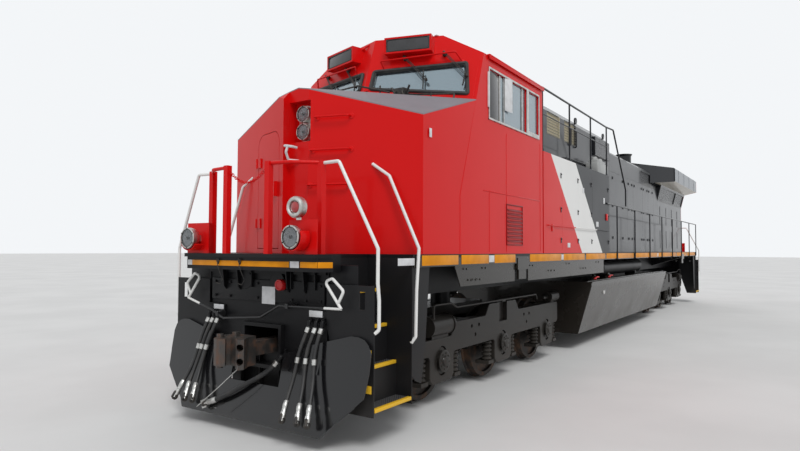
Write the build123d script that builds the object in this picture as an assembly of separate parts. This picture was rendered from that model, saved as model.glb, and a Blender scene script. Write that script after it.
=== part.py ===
from build123d import *
import os
from math import ceil, hypot, tan, radians

os.makedirs("parts", exist_ok=True)

# Diesel locomotive with a wide nose, two three-axle trucks and a hood with radiator wings.
# Units are millimetres. +X is forward, +Y is the locomotive's left, +Z is up.
# The origin is on the floor that the wheel flanges touch, at the middle of the length.
# "Offset" is a distance behind the front coupler face, or ahead of the rear one.
# "Height" is a distance above the rail, which is FLANGE_DEPTH above the floor.

# Overall sizes
LENGTH = 22300
SIDE = 1505
FLANGE_DEPTH = 28
DECK = 1910
DECK_PLATE = 40
HALF = LENGTH / 2

# Wheels and trucks
WHEEL_RADIUS = 533
GAUGE_FACE = 700
TREAD_WIDTH = 130
FLANGE_WIDTH = 32
RIM_THICKNESS = 65
WEB_THICKNESS = 28
HUB_RADIUS = 125
AXLE_RADIUS = 95
JOURNAL_RADIUS = 70
AXLE_SPACING = 1850
TRUCK_INSET = 4420
AXLE_Z = WHEEL_RADIUS + FLANGE_DEPTH
AXLE_ENDS = 1120
WHEEL_REACH = AXLE_SPACING + WHEEL_RADIUS + FLANGE_DEPTH
PIVOT_RADIUS = 160
PIVOT_BOTTOM = 960

# Platforms and stairwells
PLATFORM_FRONT = 285
PLATFORM_CORNER = 430
PLATFORM_HALF = 1086
PLATFORM_NOSE_HALF = 1000
STAIR_FRONT = 575
STAIR_BACK = 1255
STAIR_INNER = 905

# Underframe
SILL_HEIGHT = 140
SILL_THICKNESS = 40
CENTRE_SILL_HALF = 600
TANK_TOP = 1348
COUPLER_Z = 904
END_SHEET = 600
END_SHEET_THICKNESS = 30

# Body
WALL = 50
CAB_BACK = 5040
CAB_FLOOR = 2450
CAB_EAVE = 4529
CAB_SHOULDER = 4850
CAB_SHOULDER_HALF = 930
CAB_CROWN = 4878
HOOD_HALF = 950
CABINET_BACK = 8950
CABINET_TOP = 3538
BLOWER_BACK = 11110
BLOWER_TOP = 4760
ENGINE_TOP = 4430
RADIATOR_FRONT = 5400
RADIATOR_BACK = 850
WING_TOP = 4630
PANEL_GAP = 4
DOOR_THICKNESS = 40
DOOR_GAP = 8
HINGE_RADIUS = 14


def block(x0, x1, y0, y1, z0, z1):
    """A box given by its two corners."""
    middle = ((x0 + x1) / 2, (y0 + y1) / 2, (z0 + z1) / 2)
    return Pos(*middle) * Box(abs(x1 - x0), abs(y1 - y0), abs(z1 - z0))


def slab_xz(points, y0, y1):
    """An outline in the side view, given as (x, z), from y0 to y1."""
    plane = Plane(origin=(0, y0, 0), x_dir=(1, 0, 0), z_dir=(0, -1, 0))
    return extrude(plane * make_face(Polyline(*points, close=True)), amount=y1 - y0, dir=(0, 1, 0))


def slab_yz(points, x0, x1):
    """An outline in the front view, given as (y, z), from x0 to x1."""
    plane = Plane(origin=(x0, 0, 0), x_dir=(0, 1, 0), z_dir=(1, 0, 0))
    return extrude(plane * make_face(Polyline(*points, close=True)), amount=x1 - x0, dir=(1, 0, 0))


def slab_xy(points, z0, z1):
    """An outline in plan, given as (x, y), from z0 to z1."""
    return extrude(Pos(0, 0, z0) * make_face(Polyline(*points, close=True)), amount=z1 - z0, dir=(0, 0, 1))


def across(radius, x, z, y0, y1):
    """A cylinder along Y."""
    return Pos(x, (y0 + y1) / 2, z) * Rot(90, 0, 0) * Cylinder(radius, abs(y1 - y0))


def along(radius, y, z, x0, x1):
    """A cylinder along X."""
    return Pos((x0 + x1) / 2, y, z) * Rot(0, 90, 0) * Cylinder(radius, abs(x1 - x0))


def upright(radius, x, y, z0, z1):
    """A cylinder along Z."""
    return Pos(x, y, (z0 + z1) / 2) * Cylinder(radius, abs(z1 - z0))


def tube(points, radius, bend=0):
    """A round bar along straight runs joined by arcs of one bend radius."""
    path = FilletPolyline(*points, radius=bend) if len(points) > 2 else Line(*points)
    return sweep(Plane(origin=path @ 0, z_dir=path % 0) * Circle(radius), path=path)


def both_sides(shape):
    """A shape and its mirror image across the centre line."""
    return [shape, mirror(shape, about=Plane.XZ)]


def both_ends(shape):
    """A shape and its copy at the other end of the locomotive."""
    return [shape, Rot(0, 0, 180) * shape]


def fuse(pieces):
    """Pieces joined where they touch."""
    whole = pieces[0]
    for piece in pieces[1:]:
        whole = whole + piece
    return whole


def mirrored(points):
    """An outline's right half added to its left half, which is given as (y, z) from the centre line."""
    return points + [(-y, z) for y, z in reversed(points) if y]


def save(name, shape):
    """One file for each named piece, as one solid or as solids that don't touch."""
    shapes = shape if isinstance(shape, (list, tuple)) else [shape]
    solids = [solid for one in shapes for solid in one.solids()]
    whole = solids[0] if len(solids) == 1 else Compound(children=solids)
    whole.label = name
    export_step(whole, "parts/" + name + ".step")


def front_x(offset):
    """The X of a place given by its distance behind the front coupler face."""
    return HALF - offset


def rear_x(offset):
    """The X of a place given by its distance ahead of the rear coupler face."""
    return offset - HALF


def up(height):
    """The Z of a height above the rail."""
    return FLANGE_DEPTH + height


# Wheelsets: each axle, its wheels and its journals are one turned piece
WHEEL_BACK = GAUGE_FACE - FLANGE_WIDTH
WHEEL_FACE = WHEEL_BACK + TREAD_WIDTH
HUB_REACH = 20
JOURNAL_START = WHEEL_FACE + 60
FLANGE_CORNER = 8
TREAD_TAPER = 4


def wheelset(x):
    """One axle with its two wheels, standing on the floor."""
    web = WHEEL_BACK + TREAD_WIDTH * 0.55
    rim = WHEEL_RADIUS - RIM_THICKNESS
    outline = [
        (0, 0),
        (AXLE_RADIUS, 0),
        (AXLE_RADIUS, WHEEL_BACK - HUB_REACH),
        (HUB_RADIUS, WHEEL_BACK - HUB_REACH),
        (HUB_RADIUS + HUB_REACH, web - WEB_THICKNESS / 2),
        (rim, web - WEB_THICKNESS / 2),
        (rim, WHEEL_BACK),
        (WHEEL_RADIUS + FLANGE_DEPTH - FLANGE_CORNER, WHEEL_BACK),
        (WHEEL_RADIUS + FLANGE_DEPTH, WHEEL_BACK + FLANGE_CORNER),
        (WHEEL_RADIUS + FLANGE_DEPTH, WHEEL_BACK + 2 * FLANGE_CORNER),
        (WHEEL_RADIUS, WHEEL_BACK + FLANGE_WIDTH),
        (WHEEL_RADIUS - TREAD_TAPER, WHEEL_FACE),
        (rim, WHEEL_FACE),
        (rim, web + WEB_THICKNESS / 2),
        (HUB_RADIUS + HUB_REACH, web + WEB_THICKNESS / 2),
        (HUB_RADIUS, WHEEL_FACE + HUB_REACH),
        (AXLE_RADIUS, WHEEL_FACE + HUB_REACH),
        (JOURNAL_RADIUS, JOURNAL_START),
        (JOURNAL_RADIUS, AXLE_ENDS),
        (0, AXLE_ENDS),
    ]
    left = revolve(make_face(Polyline(*outline, close=True)), axis=Axis.Y)
    return Pos(x, 0, AXLE_Z) * (left + mirror(left, about=Plane.XZ))


# Truck frames: two cast sides with a deep pedestal at each axle, joined by transoms and a bolster
FRAME_INNER = 960
FRAME_OUTER = 1105
FRAME_CROWN = up(1150)
FRAME_SHOULDER = up(990)
FRAME_END_TOP = up(820)
FRAME_BELLY = up(615)
FRAME_END = 560
CROWN_HALF = 480
SHOULDER_RUN = 120
SHOULDER_END = 1500
PEDESTAL_HALF = 300
PEDESTAL_BOTTOM = up(262)
PEDESTAL_CLIP = 70
WINDOW_HALF = 138
WINDOW_TALL = 1.34
PAD_HALF = 140
PAD_DEPTH = 60
SLOT_RADIUS = 27
FRAME_ROUNDING = 60
FRAME_EDGE = 12
TRANSOM_WIDTH = 150
TRANSOM_BOTTOM = up(820)
TRANSOM_TOP = up(1080)
BOLSTER_BOTTOM = up(900)
BOLSTER_HALF = PIVOT_RADIUS + 140
BOWL_PLAY = 8
AXLE_PLACES = (AXLE_SPACING, 0, -AXLE_SPACING)


def truck_side():
    """The left side frame in the side view. Its outer end, at +X, is lower than its inner end."""
    end = AXLE_SPACING + FRAME_END
    outline = [
        (end, FRAME_BELLY + 40),
        (end, FRAME_END_TOP),
        (SHOULDER_END + SHOULDER_RUN, FRAME_END_TOP),
        (SHOULDER_END, FRAME_SHOULDER),
        (CROWN_HALF + SHOULDER_RUN, FRAME_SHOULDER),
        (CROWN_HALF, FRAME_CROWN),
        (-CROWN_HALF, FRAME_CROWN),
        (-CROWN_HALF - SHOULDER_RUN, FRAME_SHOULDER),
        (-end, FRAME_SHOULDER),
        (-end, FRAME_BELLY + 40),
        (-end + 60, FRAME_BELLY),
        (end - 60, FRAME_BELLY),
    ]
    side = slab_xz(outline, FRAME_INNER, FRAME_OUTER)
    for x in AXLE_PLACES:
        pedestal = [
            (x - PEDESTAL_HALF, FRAME_BELLY + 5),
            (x - PEDESTAL_HALF, PEDESTAL_BOTTOM + PEDESTAL_CLIP),
            (x - PEDESTAL_HALF + PEDESTAL_CLIP, PEDESTAL_BOTTOM),
            (x + PEDESTAL_HALF - PEDESTAL_CLIP, PEDESTAL_BOTTOM),
            (x + PEDESTAL_HALF, PEDESTAL_BOTTOM + PEDESTAL_CLIP),
            (x + PEDESTAL_HALF, FRAME_BELLY + 5),
        ]
        side += slab_xz(pedestal, FRAME_INNER, FRAME_OUTER)
    side = fillet(side.edges().filter_by(Axis.Y), FRAME_ROUNDING)
    outer_face = side.faces().sort_by(Axis.Y)[-1]
    side = fillet(outer_face.edges(), FRAME_EDGE)
    for x in AXLE_PLACES:
        window = scale(across(WINDOW_HALF, 0, 0, FRAME_INNER - 5, FRAME_OUTER + 5), (1, 1, WINDOW_TALL))
        side -= Pos(x, 0, AXLE_Z) * window
    side -= block(-PAD_HALF, PAD_HALF, FRAME_OUTER - PAD_DEPTH, FRAME_OUTER + 5, up(860), FRAME_CROWN + 5)
    for x in (-AXLE_SPACING / 2, AXLE_SPACING / 2):
        for step, height in ((-110, 885), (0, 760), (110, 885)):
            side -= across(SLOT_RADIUS, x + step, up(height), FRAME_INNER - 5, FRAME_OUTER + 5)
    return side


def truck_frame():
    """Two side frames joined by transoms, with the centre bowl for the body's pivot."""
    pieces = both_sides(truck_side())
    for x in (-AXLE_SPACING / 2, AXLE_SPACING / 2):
        pieces.append(
            block(
                x - TRANSOM_WIDTH / 2, x + TRANSOM_WIDTH / 2,
                -FRAME_INNER - 5, FRAME_INNER + 5, TRANSOM_BOTTOM, FRAME_SHOULDER - 20,
            )
        )
    pieces.append(
        block(
            -AXLE_SPACING / 2, AXLE_SPACING / 2, -BOLSTER_HALF, BOLSTER_HALF, BOLSTER_BOTTOM, TRANSOM_TOP,
        )
    )
    return fuse(pieces) - upright(PIVOT_RADIUS + BOWL_PLAY, 0, 0, PIVOT_BOTTOM - 5, TRANSOM_TOP + 5)


# Axle boxes: castings in the pedestal windows, each with two arms that carry coil springs
BOX_PLAY = 12
BOX_INNER = 985
BOX_FACE = 1092
BOX_CAP_RADIUS = 100
BOX_CAP_FACE = 1135
JOURNAL_GAP = 2
SPRING_ARM_INNER = 885
SPRING_ARM_OUTER = 950
SPRING_ARM_REACH = 500
SPRING_ARM_BASE = up(275)
SPRING_ARM_TOP = up(325)
SPRING_X = 415
SPRING_Y = 1025
SPRING_RADIUS = 72
SPRING_CORE = 48
SPRING_COILS = 5
SPRING_SEAT = 80


def coil_spring(x):
    """A coil spring as a turned stack of coils, from the arm up to the frame's underside."""
    pitch = (FRAME_BELLY - SPRING_ARM_TOP) / SPRING_COILS
    outline = [(0, SPRING_ARM_TOP - 5)]
    for turn in range(SPRING_COILS):
        low = SPRING_ARM_TOP + turn * pitch
        start = low - 5 if turn == 0 else low
        outline += [
            (SPRING_CORE, start),
            (SPRING_RADIUS, low + pitch * 0.3),
            (SPRING_RADIUS, low + pitch * 0.6),
        ]
    outline += [(SPRING_CORE, FRAME_BELLY), (0, FRAME_BELLY)]
    face = Plane.XZ * make_face(Polyline(*outline, close=True))
    return Pos(x, SPRING_Y, 0) * revolve(face, axis=Axis.Z)


def axle_box(x):
    """One axle box on the left side of the truck, with its spring arms."""
    casting = scale(across(WINDOW_HALF - BOX_PLAY, 0, 0, BOX_INNER, BOX_FACE), (1, 1, WINDOW_TALL))
    cap = across(BOX_CAP_RADIUS, 0, 0, BOX_FACE - 5, BOX_CAP_FACE)
    neck = across(BOX_CAP_RADIUS, 0, 0, SPRING_ARM_INNER, BOX_INNER + 5)
    box = Pos(x, 0, AXLE_Z) * (casting + cap + neck)
    arm_sides = (SPRING_ARM_INNER, SPRING_ARM_OUTER)
    arm = block(x - SPRING_ARM_REACH, x + SPRING_ARM_REACH, *arm_sides, SPRING_ARM_BASE, SPRING_ARM_TOP)
    web = block(x - BOX_CAP_RADIUS, x + BOX_CAP_RADIUS, *arm_sides, SPRING_ARM_BASE, AXLE_Z)
    pieces = [box, arm, web]
    for place in (x - SPRING_X, x + SPRING_X):
        pieces.append(
            block(
                place - SPRING_SEAT, place + SPRING_SEAT, SPRING_ARM_INNER, SPRING_Y + SPRING_SEAT - 5,
                SPRING_ARM_BASE, SPRING_ARM_TOP,
            )
        )
        pieces.append(coil_spring(place))
    bore = across(JOURNAL_RADIUS + JOURNAL_GAP, x, AXLE_Z, SPRING_ARM_INNER - 5, AXLE_ENDS + 5)
    return fuse(pieces) - bore


# Traction motors: each hangs on its axle, with a gear case round the axle
MOTOR_RADIUS = 305
MOTOR_HALF = 430
MOTOR_CAP = 60
MOTOR_RISE = 40
MOTOR_REACH = 505
GEAR_CASE_INNER = 520
GEAR_CASE_OUTER = 640
GEAR_CASE_RADIUS = 290
AXLE_PLAY = 10


def traction_motor(x, side):
    """A motor on one side of its axle, and the gear case that holds it there."""
    middle = x + side * MOTOR_REACH
    z = AXLE_Z + MOTOR_RISE
    body = across(MOTOR_RADIUS, middle, z, -MOTOR_HALF, MOTOR_HALF)
    cap = across(MOTOR_RADIUS - 90, middle, z, -MOTOR_HALF - MOTOR_CAP, GEAR_CASE_OUTER - 10)
    case = across(GEAR_CASE_RADIUS, x, AXLE_Z, GEAR_CASE_INNER, GEAR_CASE_OUTER)
    case += slab_xz(
        [
            (x, AXLE_Z - GEAR_CASE_RADIUS),
            (middle, z - MOTOR_RADIUS + 90),
            (middle, z + MOTOR_RADIUS - 90),
            (x, AXLE_Z + GEAR_CASE_RADIUS),
        ],
        GEAR_CASE_INNER, GEAR_CASE_OUTER,
    )
    case -= across(AXLE_RADIUS + AXLE_PLAY, x, AXLE_Z, GEAR_CASE_INNER - 5, GEAR_CASE_OUTER + 5)
    return fuse([body, cap, case])


# Brake gear: cylinders on the frame, brake blocks at the treads and the air pipe on the frame's top
CYLINDER_RADIUS = 130
CYLINDER_Y = 1045
CYLINDER_Z = up(975)
CYLINDER_FRONT = AXLE_SPACING + 300
CYLINDER_BACK = AXLE_SPACING - 290
SLACK_RADIUS = 95
SHOE_GAP = 8
SHOE_THICKNESS = 55
SHOE_HALF_HEIGHT = 150
PIPE_RADIUS = 14
PIPE_Y = 1150


def brake_cylinder():
    """The large cylinder on the frame's outer end, on its cast foot."""
    barrel = along(CYLINDER_RADIUS, CYLINDER_Y, CYLINDER_Z, CYLINDER_BACK + 60, CYLINDER_FRONT)
    rod_end = along(45, CYLINDER_Y, CYLINDER_Z, CYLINDER_BACK + 10, CYLINDER_BACK + 65)
    flange = along(CYLINDER_RADIUS + 12, CYLINDER_Y, CYLINDER_Z, CYLINDER_BACK + 60, CYLINDER_BACK + 90)
    foot = block(
        CYLINDER_BACK + 120, CYLINDER_FRONT - 60, FRAME_INNER + 10, FRAME_OUTER - 10, FRAME_END_TOP, CYLINDER_Z,
    )
    return fuse([barrel, rod_end, flange, foot])


def slack_adjuster():
    """The smaller cylinder on the frame's inner end."""
    middle = -AXLE_SPACING - 330
    z = FRAME_SHOULDER + SLACK_RADIUS + 4
    return fuse(
        [
            along(SLACK_RADIUS, CYLINDER_Y + 20, z, middle - 190, middle + 190),
            along(30, CYLINDER_Y + 20, z, middle + 185, middle + 420),
            block(middle - 60, middle + 60, FRAME_INNER + 20, FRAME_OUTER - 10, FRAME_SHOULDER, z),
        ]
    )


def brake_block(x, side):
    """A brake block at one tread, on a lug from the side frame."""
    inner = WHEEL_RADIUS + SHOE_GAP
    outer = inner + SHOE_THICKNESS
    y0, y1 = GAUGE_FACE + 8, WHEEL_FACE - 6
    ring = across(outer, x, AXLE_Z, y0, y1) - across(inner, x, AXLE_Z, y0 - 5, y1 + 5)
    far = x + side * (outer + 20)
    shoe = ring & block(x + side * inner * 0.8, far, y0, y1, AXLE_Z - 60, AXLE_Z + SHOE_HALF_HEIGHT)
    lug_x = sorted((x + side * (inner + 14), x + side * (outer - 4)))
    lug = block(*lug_x, y1 - 10, FRAME_INNER, AXLE_Z + 10, AXLE_Z + 110)
    return shoe + lug


def brake_pipe():
    """The air pipe that runs along the top of the left side frame, with a clip at each end."""
    run = [
        (AXLE_SPACING + 240, up(1070)),
        (AXLE_SPACING + 240, up(1245)),
        (AXLE_SPACING - 190, up(1245)),
        (AXLE_SPACING - 350, up(1182)),
        (-AXLE_SPACING + 560, up(1182)),
        (-AXLE_SPACING + 500, up(1100)),
    ]
    pipe = tube([(x, PIPE_Y - 30, z) for x, z in run], PIPE_RADIUS, 40)
    return pipe


def brake_gear():
    """All brake pieces of one truck."""
    cylinder = brake_cylinder()
    pipe = brake_pipe()
    clip = block(-60, 60, FRAME_OUTER - PAD_DEPTH - 40, PIPE_Y - 30, FRAME_CROWN, up(1190))
    left = fuse([cylinder, pipe, clip])
    pieces = both_sides(left) + both_sides(slack_adjuster())
    for x, side in ((AXLE_SPACING, -1), (0, 1), (-AXLE_SPACING, 1)):
        pieces += both_sides(brake_block(x, side))
    return pieces


def placed(shapes, centre, turn):
    """A truck's pieces moved to its pivot, turned so that the outer end faces away from the middle."""
    return [Pos(centre, 0, 0) * Rot(0, 0, turn) * shape for shape in shapes]


boxes = [box for x in AXLE_PLACES for box in both_sides(axle_box(x))]
motors = [traction_motor(x, side) for x, side in ((AXLE_SPACING, -1), (0, -1), (-AXLE_SPACING, 1))]
frame = truck_frame()
brakes = brake_gear()
for name, centre, turn in (
    ("front", HALF - TRUCK_INSET, 0),
    ("rear", TRUCK_INSET - HALF, 180),
):
    save(name + "_truck_frame", placed([frame], centre, turn))
    save(name + "_axle_boxes", placed(boxes, centre, turn))
    save(name + "_traction_motors", placed(motors, centre, turn))
    save(name + "_brake_gear", placed(brakes, centre, turn))
    outward = 1 if turn == 0 else -1
    for number, place in enumerate(AXLE_PLACES, start=1):
        save(name + "_wheelset_" + str(number), wheelset(centre + outward * place))

# Deck: one plate with clipped platform corners and a notch for each stairwell


def deck_outline():
    """The deck in plan, given as (x, y)."""
    corner = [
        (front_x(PLATFORM_FRONT), PLATFORM_NOSE_HALF),
        (front_x(PLATFORM_CORNER), PLATFORM_HALF),
        (front_x(STAIR_FRONT), PLATFORM_HALF),
        (front_x(STAIR_FRONT), STAIR_INNER),
        (front_x(STAIR_BACK), STAIR_INNER),
        (front_x(STAIR_BACK), SIDE),
    ]
    left = corner + [(-x, y) for x, y in reversed(corner)]
    return left + [(x, -y) for x, y in reversed(left)]


save("deck", slab_xy(deck_outline(), DECK - DECK_PLATE, DECK))

# Centre sill with the body bolsters and the pivots that the trucks turn on
CENTRE_END = END_SHEET + END_SHEET_THICKNESS
BODY_BOLSTER_HALF = 220
BODY_BOLSTER_TIP = 150
BODY_BOLSTER_ROOT = 480


def centre_sill():
    """The box sill under the deck, with a tapered bolster and a pivot above each truck."""
    top = DECK - DECK_PLATE
    beam = block(rear_x(CENTRE_END), front_x(CENTRE_END), -CENTRE_SILL_HALF, CENTRE_SILL_HALF, TANK_TOP, top)
    pieces = [beam]
    arm = mirrored([(SIDE - SILL_THICKNESS, top), (SIDE - SILL_THICKNESS, top - BODY_BOLSTER_TIP),
                    (CENTRE_SILL_HALF, top - BODY_BOLSTER_ROOT + 60)])
    for x in (front_x(TRUCK_INSET), rear_x(TRUCK_INSET)):
        pieces.append(slab_yz(arm, x - BODY_BOLSTER_HALF, x + BODY_BOLSTER_HALF))
        pieces.append(upright(PIVOT_RADIUS, x, 0, PIVOT_BOTTOM, TANK_TOP + 10))
    return fuse(pieces)


save("centre_sill", centre_sill())

# Side sills: a deep edge bar on each side with skirt plates below it and pads for jacking
SKIRT_Y = SIDE - 22
SKIRT_PLATE = 12
SKIRTS = [  # front offset, back offset, height of the bottom, slope at the front
    (2200, 3980, 1490, 150),
    (4480, 8560, 1478, 0),
]
JACK_FRONT = 4020
JACK_BACK = 4430
JACK_PROUD = 12


def side_sill():
    """The left side sill."""
    end = HALF - STAIR_BACK - 15
    low = DECK - SILL_HEIGHT
    pieces = [block(-end, end, SIDE - SILL_THICKNESS, SIDE, low, DECK - DECK_PLATE)]
    for front, back, bottom, slope in SKIRTS:
        plate = [
            (front_x(front), low + 5),
            (front_x(front + slope), up(bottom)),
            (front_x(back), up(bottom)),
            (front_x(back), low + 5),
        ]
        pieces.append(slab_xz(plate, SKIRT_Y - SKIRT_PLATE, SKIRT_Y))
    for x0, x1 in ((front_x(JACK_BACK), front_x(JACK_FRONT)), (rear_x(JACK_FRONT), rear_x(JACK_BACK))):
        inner = SIDE - SILL_THICKNESS
        pieces.append(block(x0, x1, inner, SIDE + JACK_PROUD, low - 90, DECK - DECK_PLATE - 20))
        pieces.append(block(x0 + 70, x1 - 70, inner, SIDE - 5, low - 230, low - 85))
    return fuse(pieces)


save("side_sills", both_sides(side_sill()))

# Fuel tank: plate sides that lean in below, a lip along the top and two filler necks on each side
TANK_FRONT_GAP = 819
TANK_BACK_GAP = 359
TANK_FRONT = TRUCK_INSET + WHEEL_REACH + TANK_FRONT_GAP
TANK_BACK = TRUCK_INSET + WHEEL_REACH + TANK_BACK_GAP
TANK_BOTTOM = up(300)
TANK_BOTTOM_HALF = 1230
TANK_LIP = 25
FILLERS = [8130, 9170]
FILLER_RADIUS = 55


def fuel_tank():
    """The tank between the trucks."""
    half = [(SIDE - 5, TANK_TOP), (SIDE - 5, TANK_TOP - 90), (TANK_BOTTOM_HALF, TANK_BOTTOM)]
    body = slab_yz(mirrored(half), rear_x(TANK_BACK), front_x(TANK_FRONT))
    pieces = [body]
    pieces += both_sides(
        block(rear_x(TANK_BACK), front_x(TANK_FRONT), SIDE - 30, SIDE + 10, TANK_TOP - TANK_LIP, TANK_TOP)
    )
    for offset in FILLERS:
        neck = tube(
            [
                (front_x(offset), SIDE - 130, TANK_TOP - 5),
                (front_x(offset), SIDE - 130, TANK_TOP + 50),
                (front_x(offset), SIDE - 90, TANK_TOP + 90),
            ],
            FILLER_RADIUS * 0.7, 45,
        )
        cap = Pos(front_x(offset), SIDE - 84, TANK_TOP + 96) * Rot(-45, 0, 0) * Cylinder(FILLER_RADIUS, 30)
        pieces += both_sides(neck + cap)
    return fuse(pieces)


save("fuel_tank", fuel_tank())

# Main air reservoirs: two long cylinders on saddles, above the tank and beside the centre sill
RESERVOIR_RADIUS = 180
RESERVOIR_Y = 1050
RESERVOIR_FRONT = 9500
RESERVOIR_BACK = 13300


def air_reservoir():
    """The left reservoir with its domed ends and two saddles."""
    z = TANK_TOP + RESERVOIR_RADIUS + 40
    x0, x1 = front_x(RESERVOIR_BACK), front_x(RESERVOIR_FRONT)
    barrel = along(RESERVOIR_RADIUS, RESERVOIR_Y, z, x0, x1)
    barrel = fillet(barrel.edges().filter_by(GeomType.CIRCLE), RESERVOIR_RADIUS * 0.5)
    saddles = [
        block(x - 40, x + 40, RESERVOIR_Y - 130, RESERVOIR_Y + 130, TANK_TOP, z - 40)
        for x in (x0 + 600, x1 - 600)
    ]
    return fuse([barrel, *saddles])


save("air_reservoirs", both_sides(air_reservoir()))

# Ends: platform beam, end sheet with the coupler opening, pocket, hose brackets and pipe elbows
POCKET_HALF = 260
POCKET_WALL = 40
POCKET_BOTTOM = COUPLER_Z - 190
POCKET_TOP = COUPLER_Z + 210
POCKET_BACK = 1700
POCKET_HANGER = 800
SHEET_HALF = STAIR_INNER - 15
SHEET_BOTTOM = up(640)
BEAM_FRONT = PLATFORM_FRONT + 40
BEAM_CORNER = PLATFORM_CORNER + 25
BEAM_HEIGHT = 135
STRIKER = 60
HOSE_TOPS = [  # Y of each pipe elbow on the end sheet
    704, 798, 880,
    -694, -773, -853,
]
ELBOW_RADIUS = 21
ELBOW_Z = up(1205)
ELBOW_END = 535
ELBOW_DROP = 55
BRAKE_PIPE_Y = 345
BRAKE_PIPE_Z = up(800)
BRAKE_PIPE_END = 500
BRAKE_PIPE_RADIUS = 22
COCK_RUN = (30, -55, -85)
COCK_LENGTH = 44
COCK_RADIUS = 26


def pilot(elbows):
    """The front end structure below the platform, with pipe elbows where hoses leave it."""
    face = front_x(END_SHEET)
    deck_low = DECK - DECK_PLATE
    beam = [
        (front_x(BEAM_FRONT), PLATFORM_NOSE_HALF),
        (front_x(BEAM_CORNER), PLATFORM_HALF),
        (front_x(STAIR_FRONT - 2), PLATFORM_HALF),
    ]
    beam = beam + [(x, -y) for x, y in reversed(beam)]
    sheet_back = face - END_SHEET_THICKNESS
    pocket_outer = POCKET_HALF + POCKET_WALL
    pieces = [
        slab_xy(beam, deck_low - BEAM_HEIGHT, deck_low),
        block(sheet_back, face, -SHEET_HALF, SHEET_HALF, SHEET_BOTTOM, deck_low),
        block(face - 5, front_x(STAIR_FRONT - 2), -SHEET_HALF, SHEET_HALF, deck_low - 175, deck_low - 100),
        block(
            front_x(POCKET_BACK), face + STRIKER, -pocket_outer, pocket_outer,
            POCKET_BOTTOM - POCKET_WALL, POCKET_TOP + POCKET_WALL,
        ),
        block(
            front_x(POCKET_BACK) - 5, front_x(POCKET_HANGER), -pocket_outer, pocket_outer,
            POCKET_TOP + POCKET_WALL - 5, TANK_TOP,
        ),
    ]
    for y in (-620, -380, 380, 620):
        rib = [
            (sheet_back + 10, deck_low - 150),
            (front_x(BEAM_CORNER + 60), deck_low - BEAM_HEIGHT + 5),
            (face + 60, deck_low - 330),
            (sheet_back + 10, deck_low - 420),
        ]
        pieces.append(slab_xz(rib, y - 8, y + 8))
    for side in (1, -1):
        pieces.append(block(face - 5, face + 22, side * 640, side * 885, up(1160), up(1290)))
    whole = fuse(pieces)
    whole -= block(
        front_x(POCKET_BACK - POCKET_WALL), face + STRIKER + 5,
        -POCKET_HALF, POCKET_HALF, POCKET_BOTTOM, POCKET_TOP,
    )
    if elbows:
        for y in HOSE_TOPS:
            whole += tube(
                [
                    (face + 15, y, ELBOW_Z),
                    (front_x(ELBOW_END) + ELBOW_RADIUS * 0.2 - 12, y, ELBOW_Z),
                    (front_x(ELBOW_END), y, ELBOW_Z - ELBOW_DROP),
                ],
                ELBOW_RADIUS, 26,
            )
    for side in (1, -1) if elbows else (1,):
        whole += along(BRAKE_PIPE_RADIUS, side * BRAKE_PIPE_Y, BRAKE_PIPE_Z, face - 5, front_x(BRAKE_PIPE_END))
        whole += block(
            face - 5, front_x(BRAKE_PIPE_END + 60), side * BRAKE_PIPE_Y - 12, side * BRAKE_PIPE_Y + 12,
            BRAKE_PIPE_Z, BRAKE_PIPE_Z + 75,
        )
    if elbows:
        start = Vector(front_x(BRAKE_PIPE_END), BRAKE_PIPE_Y, BRAKE_PIPE_Z)
        run = Vector(*COCK_RUN).normalized()
        place = Plane(origin=start + run * COCK_LENGTH / 2, z_dir=run)
        whole += Pos(*start) * Sphere(COCK_RADIUS)
        whole += place * Cylinder(COCK_RADIUS, COCK_LENGTH)
    return whole


save("front_pilot", pilot(True))
save("rear_pilot", Rot(0, 0, 180) * pilot(False))

# Couplers: a knuckle head on a square shank, with the knuckle's face at the end of the length
SHANK_HALF = 75
SHANK_BACK = 1500
HEAD_BACK = 330
HEAD_HALF_HEIGHT = 150
KNUCKLE_HALF_HEIGHT = 138


def coupler():
    """A coupler with its knuckle closed. The guard arm has two holes, and the lock's lug is on top."""
    low, high = COUPLER_Z - SHANK_HALF, COUPLER_Z + SHANK_HALF
    shank = block(front_x(SHANK_BACK), front_x(HEAD_BACK - 20), -SHANK_HALF, SHANK_HALF, low, high)
    key = block(front_x(SHANK_BACK), front_x(SHANK_BACK - 40), -POCKET_HALF, POCKET_HALF, low, high)
    head = slab_xy(
        [
            (front_x(HEAD_BACK), -150),
            (front_x(HEAD_BACK), 150),
            (front_x(200), 175),
            (front_x(70), 262),
            (front_x(15), 240),
            (front_x(60), 150),
            (front_x(150), 70),
            (front_x(150), -30),
            (front_x(110), -140),
            (front_x(180), -185),
        ],
        COUPLER_Z - HEAD_HALF_HEIGHT, COUPLER_Z + HEAD_HALF_HEIGHT,
    )
    for z in (COUPLER_Z - 70, COUPLER_Z + 70):
        head -= Pos(front_x(75), 205, z) * Rot(0, 90, 0) * Rot(-40, 0, 0) * Cylinder(36, 400)
    knuckle = slab_xy(
        [
            (front_x(200), -140),
            (front_x(60), -168),
            (front_x(12), -125),
            (front_x(0), -70),
            (front_x(0), -10),
            (front_x(38), 18),
            (front_x(75), -10),
            (front_x(80), -60),
            (front_x(160), -30),
        ],
        COUPLER_Z - KNUCKLE_HALF_HEIGHT, COUPLER_Z + KNUCKLE_HALF_HEIGHT,
    )
    pin = upright(34, front_x(95), -128, COUPLER_Z - 175, COUPLER_Z + 175)
    lock = block(front_x(230), front_x(170), -30, 30, COUPLER_Z + 145, COUPLER_Z + 195)
    return fuse([shank, key, head, knuckle, pin, lock])


save("couplers", both_ends(coupler()))

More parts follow.
